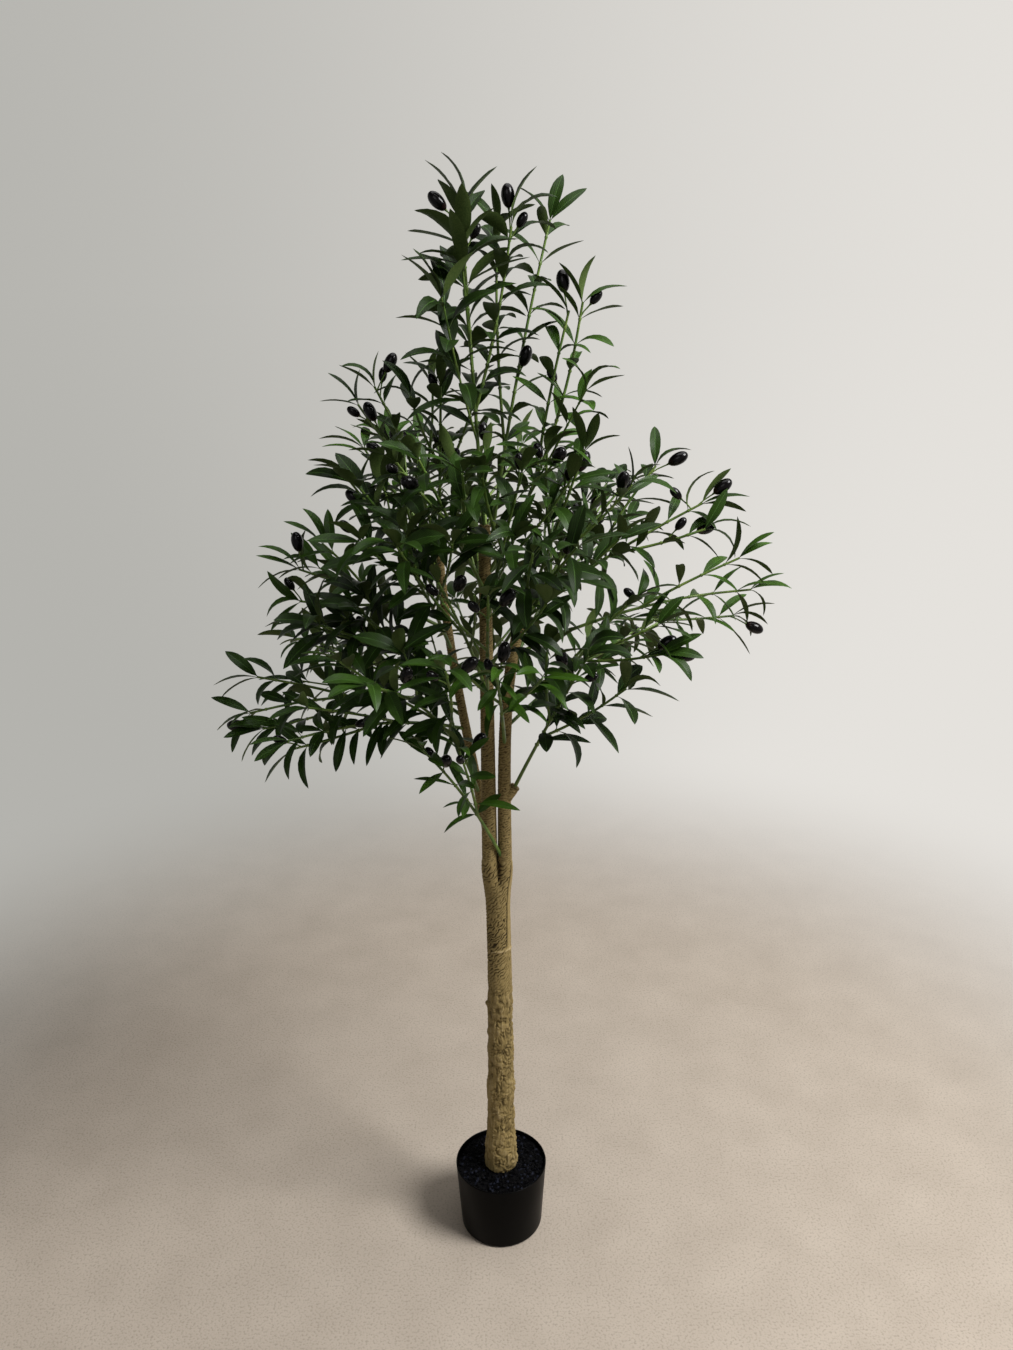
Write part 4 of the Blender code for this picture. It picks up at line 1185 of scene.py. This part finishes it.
def lay_twigs(paths, limbs):
    """Every spray's twigs: its stem, the side sprigs that find room, as in the solids, and finer sprigs."""
    stems = [stem_path(spray, point_at_height(paths[spray.limb], spray.height)) for spray in SPRAYS]
    twigs = []
    for stem in stems:
        seated = seat(stem, limbs, STEM_RADIUS)
        shape = twig_shape(seated, STEM_RADIUS)
        twigs.append([Twig(seated, STEM_BARE, STEM_RADIUS, TWIG_TIP_RADIUS, shape, 0)])

    def add_if_clear(number, path, bare, foot_radius, tip_radius, rank):
        """Adds a twig to its spray, unless it comes too near to a limb or to another spray."""
        shape = twig_shape(path, foot_radius)
        others = surface([twig.shape for other, own in enumerate(twigs) if other != number for twig in own])
        if not hits(shape, [limbs, others], TWIG_CLEAR):
            twigs[number].append(Twig(path, bare, foot_radius, tip_radius, shape, rank))

    for number, spray in enumerate(SPRAYS):
        chance = random.Random(TWIG_SEED + number)
        for side in range(spray.sprigs):
            fork = FIRST_FORK + FORK_STEP * side
            jitter = chance.uniform(-SPRIG_JITTER, SPRIG_JITTER)
            spread = spray.spread * (1 if side % 2 == 0 else -1) + jitter
            lift = chance.uniform(-SPRIG_JITTER, SPRIG_JITTER)
            length = spray.reach * (1 - fork) * SPRIG_SHARE
            path = sprig_path(spray, stems[number], fork, spread, lift, length)
            add_if_clear(number, path, SPRIG_BARE, SPRIG_RADIUS, TWIG_TIP_RADIUS, 1)
    for number, spray in enumerate(SPRAYS):
        chance = random.Random(FINE_SEED + number)
        for side, fork in enumerate(FINE_FORKS[: spray.fine]):
            spread = (spray.spread + chance.uniform(-SPRIG_JITTER, SPRIG_JITTER)) * (1 if side % 2 else -1)
            roll = FINE_ROLL + chance.uniform(-FINE_ROLL_JITTER, FINE_ROLL_JITTER)
            length = spray.reach * (1 - fork) * FINE_SHARE
            pair = [sprig_path(spray, stems[number], fork, way, 0, length, roll) for way in (spread, -spread)]
            path = max(pair, key=lambda sprig: sprig[-1].z + FINE_OUTWARD * sprig[-1].to_2d().length)
            add_if_clear(number, path, FINE_BARE, FINE_RADIUS, FINE_TIP_RADIUS, 2)
    return stems, twigs


def knobby_twig(path, foot_radius, tip_radius, knots):
    """A round twig that swells a little at each knot, where a pair of leaves is moulded on."""
    lengths = measured(path)
    whole = lengths[-1]
    steps = max(2, round(whole / ROUND_TWIG_STEP))
    stops = {whole * step / steps: 1.0 for step in range(steps + 1)}
    for knot in knots:
        if KNOB_REACH < knot < whole - KNOB_REACH:
            stops = {stop: swell for stop, swell in stops.items() if abs(stop - knot) > KNOB_CLEAR}
            stops.update({knot - KNOB_REACH: 1.0, knot: KNOB_SWELL, knot + KNOB_REACH: 1.0})
    line, radii = [], []
    for stop in sorted(stops):
        line.append(spot(path, lengths, stop)[0])
        radii.append(mix(foot_radius, tip_radius, stop / whole) * stops[stop])
    return tube(line, radii, ROUND_TWIG_SIDES)


# Leaves and olives.

BLADE, MIDRIB, BACK = range(3)
LEAF_OUTER_FROM = 2  # rows before this one may touch the twig


def plan_leaf():
    """The faces of every leaf, a top with a midrib strip and a keeled back, with their finishes, and a
    coarser set of faces for the outer part that has to find room."""
    rows, wide = len(LEAF_ROWS), LEAF_COLUMNS
    tip = rows * wide
    keel = tip + 1
    faces, finishes, outer_faces = [], [], []
    for row in range(rows):
        low, high = row * wide, (row + 1) * wide
        for column in range(wide - 1):
            if row < rows - 1:
                faces.append((low + column, low + column + 1, high + column + 1, high + column))
            else:
                faces.append((low + column, low + column + 1, tip))
            finishes.append(MIDRIB if column == wide // 2 - 1 else BLADE)
        for near, first in ((low, True), (low + wide - 1, False)):
            if row < rows - 1:
                face = (near, near + wide, keel + row + 1, keel + row)
            else:
                face = (near, tip, keel + row)
            faces.append(face if first else tuple(reversed(face)))
            finishes.append(BACK)
        if LEAF_OUTER_FROM <= row < rows - 1:
            for left, right in ((0, 2), (2, wide - 1)):
                outer_faces.append((low + left, low + right, high + right, high + left))
    faces.append((*reversed(range(wide)), keel))
    finishes.append(BACK)
    return faces, finishes, outer_faces


LEAF_FACES, LEAF_FINISHES, LEAF_OUTER_FACES = plan_leaf()


def leaf_points(root, along, up, length, width, bend, twist, wave):
    """A leaf's points, row by row from its stalk, then its tip and the keel of its back."""
    across = along.cross(up).normalized()
    points, keel = [], []
    middle, before = root.copy(), 0.0
    rib = LEAF_RIB_WIDTH / 2
    for share, wide in zip(LEAF_ROWS, LEAF_HALF_WIDTHS):
        heading = turned(along, across, bend * (LEAF_STRAIGHT_AT - share))
        middle = middle + heading * length * (share - before)
        before = share
        side = turned(across, heading, twist * share)
        rise = side.cross(heading)
        half = max(width / 2 * wide, LEAF_STALK_WIDTH / 2)
        fold = math.tan(math.radians(LEAF_FOLD)) * min(wide * LEAF_FOLD_GROWTH, 1.0)
        ripple = LEAF_WAVE * half * math.sin(wave + share * LEAF_WAVES)
        narrow = min(rib, half * RIB_MOST) * (1.0 - RIB_TAPER * share)
        for reach, lift in (
            (-half, fold * half + ripple),
            (-half * BLADE_MIDDLE, fold * half * BLADE_MIDDLE_LIFT),
            (-narrow, 0.0),
            (narrow, 0.0),
            (half * BLADE_MIDDLE, fold * half * BLADE_MIDDLE_LIFT),
            (half, fold * half - ripple),
        ):
            points.append(middle + side * reach + rise * lift)
        keel.append(middle - rise * LEAF_THICKNESS)
    tip = middle + turned(along, across, bend * (LEAF_STRAIGHT_AT - 1)) * length * (1 - before)
    return points + [tip] + keel


def leaf_uvs(length, width):
    """Distances across and along the flat leaf, in metres."""
    uvs = []
    for share, wide in zip(LEAF_ROWS, LEAF_HALF_WIDTHS):
        half = width / 2 * max(wide, STALK_PRINT)
        for across in (-1, -BLADE_MIDDLE, -RIB_EDGE, RIB_EDGE, BLADE_MIDDLE, 1):
            uvs.append((half * across, share * length))
    uvs.append((0.0, length))
    uvs += [(0.0, share * length) for share in LEAF_ROWS]
    return uvs


def olive_shape(centre, along, length, width):
    """An olive, a little fuller towards its far end, with the finish of each face."""
    across = along.orthogonal().normalized()
    square = along.cross(across)
    points = [centre - along * length / 2]
    for ring in range(1, OLIVE_RINGS + 1):
        turn = math.pi * ring / (OLIVE_RINGS + 1)
        middle = centre - along * length / 2 * math.cos(turn)
        wide = width / 2 * math.sin(turn) * (1 - OLIVE_FULLNESS * math.cos(turn))
        for side in range(OLIVE_SIDES):
            around = math.tau * side / OLIVE_SIDES
            points.append(middle + (across * math.cos(around) + square * math.sin(around)) * wide)
    points.append(centre + along * length / 2)
    faces, finishes = [], []
    last = len(points) - 1
    for side in range(OLIVE_SIDES):
        after = (side + 1) % OLIVE_SIDES
        faces.append((0, 1 + after, 1 + side))
        finishes.append(1)
        for ring in range(OLIVE_RINGS - 1):
            low = 1 + ring * OLIVE_SIDES
            high = low + OLIVE_SIDES
            faces.append((low + side, low + after, high + after, high + side))
            finishes.append(1 if ring < OLIVE_BROWN_RINGS else 0)
        low = last - OLIVE_SIDES
        faces.append((low + side, low + after, last))
        finishes.append(0)
    return (points, faces), finishes


def olive_pair(spray, path, chance):
    """A large and a small olive, either side of a twig near its tip: (root, direction, size) each."""
    at = OLIVE_PLACE * (len(path) - 1)
    root = path[int(at)].lerp(path[int(at) + 1], at - int(at))
    heading = tangents(path)[int(at)]
    side = turned(spray_side(spray, heading), heading, chance.uniform(0, 360))
    pair = []
    for sign, size in ((1, 1.0), (-1, SMALL_OLIVE)):
        opening = STALK_OPEN + chance.uniform(-STALK_JITTER, STALK_JITTER)
        along = turned(heading, heading.cross(side * sign), opening)
        pair.append((root, (along + UP * STALK_LIFT).normalized(), size))
    return pair


def olive_place(own, olive):
    path = own[olive.twig].path
    root = spot(path, measured(path), measured(path)[-1] * olive.share)[0]
    return root, aim(olive.bearing, olive.rise), olive.size


def hang_olive(crowd, wood, fruit, root, along, size):
    """Adds an olive and its stalk, turned a little about the upright where the way is taken."""
    length, width = OLIVE_LENGTH * size, OLIVE_WIDTH * size
    for turn in OLIVE_TURNS:
        way = turned(along, UP, turn)
        end = root + way * STALK_LENGTH * size
        olive, finishes = olive_shape(end + way * length / 2, way, length, width)
        tree = surface([olive])
        if olive[0][-1].z < TREE_HEIGHT and crowd.has_room(tree, olive[0]):
            crowd.add(tree, olive[0])
            fruit.add(olive, finishes)
            bow = root.lerp(end, STALK_BOW_AT) + UP * STALK_BOW
            neck = root.lerp(end, STALK_NECK_AT)
            cup = end + way * length * STALK_CUP_SUNK
            wood.add(tube([root, bow, neck, cup], STALK_RADII, ROUND_TWIG_SIDES))
            return


def leaf_up(along, heading, chance):
    """The leaf's upper side faces the sky and the twig's tip, with some disorder."""
    disorder = Vector([chance.uniform(-UP_DISORDER, UP_DISORDER) for _ in range(3)])
    rough = UP + heading * UP_ALONG_TWIG + disorder
    return (rough - along * rough.dot(along)).normalized()


class Crowd:
    """What has already been placed, by cells of space, so that leaves don't grow through it."""

    def __init__(self):
        self.cells = {}

    def cells_of(self, points):
        return {tuple(math.floor(value / CROWD_CELL) for value in point) for point in points}

    def add(self, tree, points):
        for cell in self.cells_of(points):
            self.cells.setdefault(cell, []).append(tree)

    def has_room(self, tree, points):
        met = {id(other): other for cell in self.cells_of(points) for other in self.cells.get(cell, ())}
        return not any(tree.overlap(other) for other in met.values())


def grow_leaf(crowd, limbs, root, heading, side, opening, length, width, chance):
    """Tries a few poses for a leaf and returns the points and uvs of the first that finds room."""
    for _ in range(LEAF_TRIES):
        along = turned(heading, heading.cross(side), opening + chance.uniform(-OPEN_JITTER, OPEN_JITTER))
        along = turned(along, heading, chance.uniform(-OPEN_JITTER, OPEN_JITTER))
        along = (along - UP * chance.uniform(0, LEAF_DROOP)).normalized()
        up = leaf_up(along, heading, chance)
        bend = mix(*LEAF_BENDS, chance.random() ** LEAF_BEND_SKEW)
        twist, wave = chance.uniform(-LEAF_TWIST, LEAF_TWIST), chance.uniform(0, math.tau)
        points = leaf_points(root, along, up, length, width, bend, twist, wave)
        outer = points[LEAF_OUTER_FROM * LEAF_COLUMNS : len(LEAF_ROWS) * LEAF_COLUMNS + 1]
        if not all(LOWEST_LEAF < point.z < TREE_HEIGHT for point in outer) or any(map(in_opening, outer)):
            continue
        tree = BVHTree.FromPolygons(points, LEAF_OUTER_FACES)
        near = (limbs.find_nearest(point, LIMB_CLEAR)[0] is not None for point in outer[::3])
        if tree.overlap(limbs) or any(near):
            continue
        if crowd.has_room(tree, outer):
            crowd.add(tree, outer)
            return points, leaf_uvs(length, width)
    return None


def in_opening(point):
    for start, end, radius in OPENINGS:
        near, share = geometry.intersect_point_line(point, start, end)
        if 0 < share < 1 and (point - near).length < radius:
            return True
    return False


def leaf_size(spray, sizes, chance):
    length = LEAF_LENGTH * spray.leaf * chance.uniform(*sizes)
    return length, LEAF_WIDTHS[spray.tint] * spray.leaf * chance.uniform(*LEAF_WIDTH_SHARES)


def leaf_knots(path, bare, vigour):
    """The distances along a twig where it has a pair of leaves, closer on a spray with bigger leaves."""
    whole = measured(path)[-1]
    leafy = whole * (1 - bare)
    count = max(1, round(leafy / LEAF_SPACING * vigour**VIGOUR_POWER))
    return [whole * bare + leafy * (number + FIRST_KNOT) / count for number in range(count)]


def heap_twigs(stems, twigs, crowd, wood):
    """Puts every twig in the heap, round and knobby, and enters it in the crowd."""
    for spray, stem, own in zip(SPRAYS, stems, twigs):
        for twig in own:
            path = [stem[0]] + twig.path if twig.rank == 0 else twig.path
            foot = measured(path)[-1] - measured(twig.path)[-1]
            knots = [foot + knot for knot in leaf_knots(twig.path, twig.bare, spray.leaf)]
            line = rounded(path, SMOOTH_STEPS)
            wood.add(knobby_twig(line, twig.foot_radius, twig.tip_radius, knots))
            for low in range(len(line) - 1):
                piece = tube(line[low : low + 2], (twig.tip_radius,) * 2, TWIG_SIDES)
                crowd.add(surface([piece]), piece[0])


def spray_olives(spray, own, chance):
    """The olives of a spray, from its own rows or by the rule: (root, direction, size) each."""
    rows = [olive for olive in OLIVES if olive.spray == spray.name and olive.twig < len(own)]
    if rows:
        return [olive_place(own, olive) for olive in rows]
    pair = olive_pair(spray, own[0].path, chance)
    found = pair[: chance.choice(OLIVE_COUNTS)]
    for twig in own[1:]:
        if chance.random() < SPRIG_OLIVE_CHANCE:
            found += olive_pair(spray, twig.path, chance)
    return found


def add_twigs_and_olives(stems, twigs, crowd):
    """Adds all twigs, stalks and olives, and enters them in the crowd."""
    wood, fruit = Heap(), Heap()
    heap_twigs(stems, twigs, crowd, wood)
    for number, (spray, own) in enumerate(zip(SPRAYS, twigs)):
        for root, along, size in spray_olives(spray, own, random.Random(OLIVE_SEED + number)):
            hang_olive(crowd, wood, fruit, root, along, size)
    made = add_mesh("twigs_and_stalks", wood.points, wood.faces, [twig_material()], sharp_angle=60)
    place(made, "foliage")
    black = olive_material("lacquered_black_olive", "040303", "090607")
    brown = olive_material("lacquered_olive_stalk_end", "110809", "1F100C")
    made = add_mesh("olives", fruit.points, fruit.faces, [black, brown], fruit.finishes)
    place(made, "foliage")


def grow_leaves(spray, own, limbs, crowd, chance):
    """A spray's leaves: opposite pairs along each twig, and at its tip a pair with one leaf between."""
    grown = []
    for twig in own:
        line = rounded(twig.path, SMOOTH_STEPS)
        lengths = measured(line)
        turn = chance.uniform(-NODE_TURN, NODE_TURN)
        for knot in leaf_knots(twig.path, twig.bare, spray.leaf):
            point, heading = spot(line, lengths, min(knot, lengths[-1]))
            side = turned(spray_side(spray, heading), heading, turn)
            turn += NODE_TURN + chance.uniform(-NODE_JITTER, NODE_JITTER)
            opening = mix(OPEN_AT_BASE, OPEN_AT_TIP, knot / lengths[-1])
            for sign in (1, -1):
                size = leaf_size(spray, LEAF_SIZES, chance)
                grown.append(grow_leaf(crowd, limbs, point, heading, side * sign, opening, *size, chance))
        heading = tangents(line)[-1]
        tip = line[-1] - heading * TIP_LEAF_SUNK
        side = spray_side(spray, heading)
        for turn_off in (0, TIP_PAIR_OPEN, -TIP_PAIR_OPEN):
            size = leaf_size(spray, TIP_LEAF_SIZES, chance)
            grown.append(grow_leaf(crowd, limbs, tip, heading, side, turn_off, *size, chance))
    return [leaf for leaf in grown if leaf is not None]


def add_leaves(twigs, limbs, crowd):
    """Adds all leaves, a mesh for each tint of leaf cloth."""
    heaps = {}
    for number, (spray, own) in enumerate(zip(SPRAYS, twigs)):
        heap = heaps.setdefault(spray.tint, Heap())
        for points, uvs in grow_leaves(spray, own, limbs, crowd, random.Random(LEAF_SEED + number)):
            heap.add((points, LEAF_FACES), LEAF_FINISHES, uvs)
    ribs, backs = rib_material(), leaf_back_material()
    cloths = {
        "deep": leaf_cloth_material("deep_green_leaf_cloth", "0B1604", "1D2E0D", "344F17"),
        "mid": leaf_cloth_material("mid_green_leaf_cloth", "112006", "263D10", "405D1B"),
        "fresh": leaf_cloth_material("fresh_green_leaf_cloth", "1C3009", "345313", "4C6C20"),
    }
    for tint, heap in heaps.items():
        finishes = [cloths[tint], ribs, backs]
        name = tint + "_green_leaves"
        made = add_mesh(name, heap.points, heap.faces, finishes, heap.finishes, heap.uvs, sharp_angle=70)
        place(made, "foliage", *[spray.name for spray in SPRAYS if spray.tint == tint])


# The floor, the lights and the camera.

FLOOR_RADIUS = 80.0
FLOOR_SIDES = 96
FLOOR_FADE = (0.75, 2.35)  # where the floor turns into the backdrop's colour
BACKDROP_LEFT = "B4B3AE"
BACKDROP_RIGHT = "E5E2DD"  # the key light spills on this side
BACKDROP_TURN = (-0.6, 0.6)  # the sines between which the one goes over into the other
ROOM_COLOUR = "828180"
ROOM_TURN = (-0.75, 0.65)
CEILING_COLOUR = "4C4B4A"
CEILING_FROM = (0.24, 0.55)  # rise of the view, as its sine, where the backdrop dims into a dark ceiling

# Round lamps: where they hang, the height of the tree they point at, their width and their power.
Lamp = namedtuple("Lamp", "name place target_height width watts")
LAMPS = (
    Lamp("key", (2.1, -1.0, 3.2), 0.9, 1.5, 142),
    Lamp("overhead", (0.4, 0.2, 3.5), 0.9, 2.6, 36),
    Lamp("fill", (-0.6, -2.6, 2.8), 1.0, 1.6, 7),
)

CAMERA_PLACE = (0.019, -1.633, 1.646)
CAMERA_DOWN = 19.54
CAMERA_ROLL = 0.593
CAMERA_LENS = 30.0
CAMERA_SENSOR = 36.0


def backdrop(tree, direction):
    """The backdrop's colour in a direction: paler to the right, and dimmer in the room before the tree."""
    ways = add_node(tree, "SeparateXYZ", {"Vector": direction})
    shares = []
    for way, (low, high) in (("X", BACKDROP_TURN), ("Y", ROOM_TURN)):
        ends = {"Value": ways.outputs[way], "From Min": low, "From Max": high}
        shares.append(add_node(tree, "MapRange", ends, interpolation_type="SMOOTHERSTEP"))
    sides = {"Factor": shares[0], "A": BACKDROP_LEFT, "B": BACKDROP_RIGHT}
    behind = add_node(tree, "Mix", sides, data_type="RGBA")
    return add_node(tree, "Mix", {"Factor": shares[1], "A": ROOM_COLOUR, "B": behind}, data_type="RGBA")


def add_floor():
    """A pale concrete floor that fades with distance into a glow in the backdrop's colours."""
    points = [(0.0, 0.0, 0.0)]
    for side in range(FLOOR_SIDES):
        turn = math.tau * side / FLOOR_SIDES
        points.append((FLOOR_RADIUS * math.cos(turn), FLOOR_RADIUS * math.sin(turn), 0.0))
    faces = [(0, 1 + side, 1 + (side + 1) % FLOOR_SIDES) for side in range(FLOOR_SIDES)]
    made, tree, shader = concrete_material()
    place_on = add_node(tree, "TexCoord").outputs["Object"]
    distance = add_node(tree, "VectorMath", {"Vector": place_on}, operation="LENGTH")
    ends = {"Value": distance, "From Min": FLOOR_FADE[0], "From Max": FLOOR_FADE[1]}
    fade = add_node(tree, "MapRange", ends, interpolation_type="SMOOTHERSTEP")
    outward = add_node(tree, "VectorMath", {"Vector": place_on}, operation="NORMALIZE")
    # Far off the floor glows, though it is no lamp: painted light in the backdrop's colours, brighter to the
    # right as a painted spill of the key light and dimmer towards the room before the tree.
    glow = add_node(tree, "Emission", {"Color": backdrop(tree, live(outward.outputs))})
    faded = add_node(tree, "MixShader", {0: fade, 1: shader, 2: glow})
    feed(tree.nodes["Material Output"], {"Surface": faded})
    add_mesh("floor", points, faces, [made])


def add_world():
    """Soft light from all round, in the backdrop's colours, under a dark ceiling."""
    world = bpy.data.worlds.new("studio")
    world.use_nodes = True
    tree = world.node_tree
    direction = add_node(tree, "TexCoord").outputs["Generated"]
    rise = add_node(tree, "SeparateXYZ", {"Vector": direction}).outputs["Z"]
    low, high = CEILING_FROM
    overhead = add_node(tree, "MapRange", {"Value": rise, "From Min": low, "From Max": high})
    dimmed = {"Factor": overhead, "A": backdrop(tree, direction), "B": CEILING_COLOUR}
    feed(tree.nodes["Background"], {"Color": add_node(tree, "Mix", dimmed, data_type="RGBA")})
    bpy.context.scene.world = world


def add_lamps():
    for lamp in LAMPS:
        data = bpy.data.lights.new(lamp.name, "AREA")
        data.shape = "DISK"
        data.size, data.energy = lamp.width, lamp.watts
        made = bpy.data.objects.new(lamp.name, data)
        made.location = lamp.place
        made.rotation_mode = "QUATERNION"
        towards = Vector((0, 0, lamp.target_height)) - Vector(lamp.place)
        made.rotation_quaternion = towards.to_track_quat("-Z", "Y")
        bpy.context.scene.collection.objects.link(made)


def add_camera():
    data = bpy.data.cameras.new("camera")
    data.lens, data.sensor_width = CAMERA_LENS, CAMERA_SENSOR
    camera = bpy.data.objects.new("camera", data)
    tilt = Matrix.Rotation(math.radians(90 - CAMERA_DOWN), 4, "X")
    roll = Matrix.Rotation(math.radians(-CAMERA_ROLL), 4, "Z")
    camera.matrix_world = Matrix.Translation(CAMERA_PLACE) @ tilt @ roll
    bpy.context.scene.collection.objects.link(camera)
    bpy.context.scene.camera = camera
    bpy.context.scene.view_settings.view_transform = "Standard"


noise.seed_set(FOLD_SEED)
bark_finish = bark_material()
add_pot()
add_filler()
add_trunk(bark_finish)
limb_paths, limb_surface = add_stems(bark_finish)
spray_stems, spray_twigs = lay_twigs(limb_paths, limb_surface)
placed = Crowd()
add_twigs_and_olives(spray_stems, spray_twigs, placed)
add_leaves(spray_twigs, limb_surface, placed)
add_floor()
add_world()
add_lamps()
add_camera()
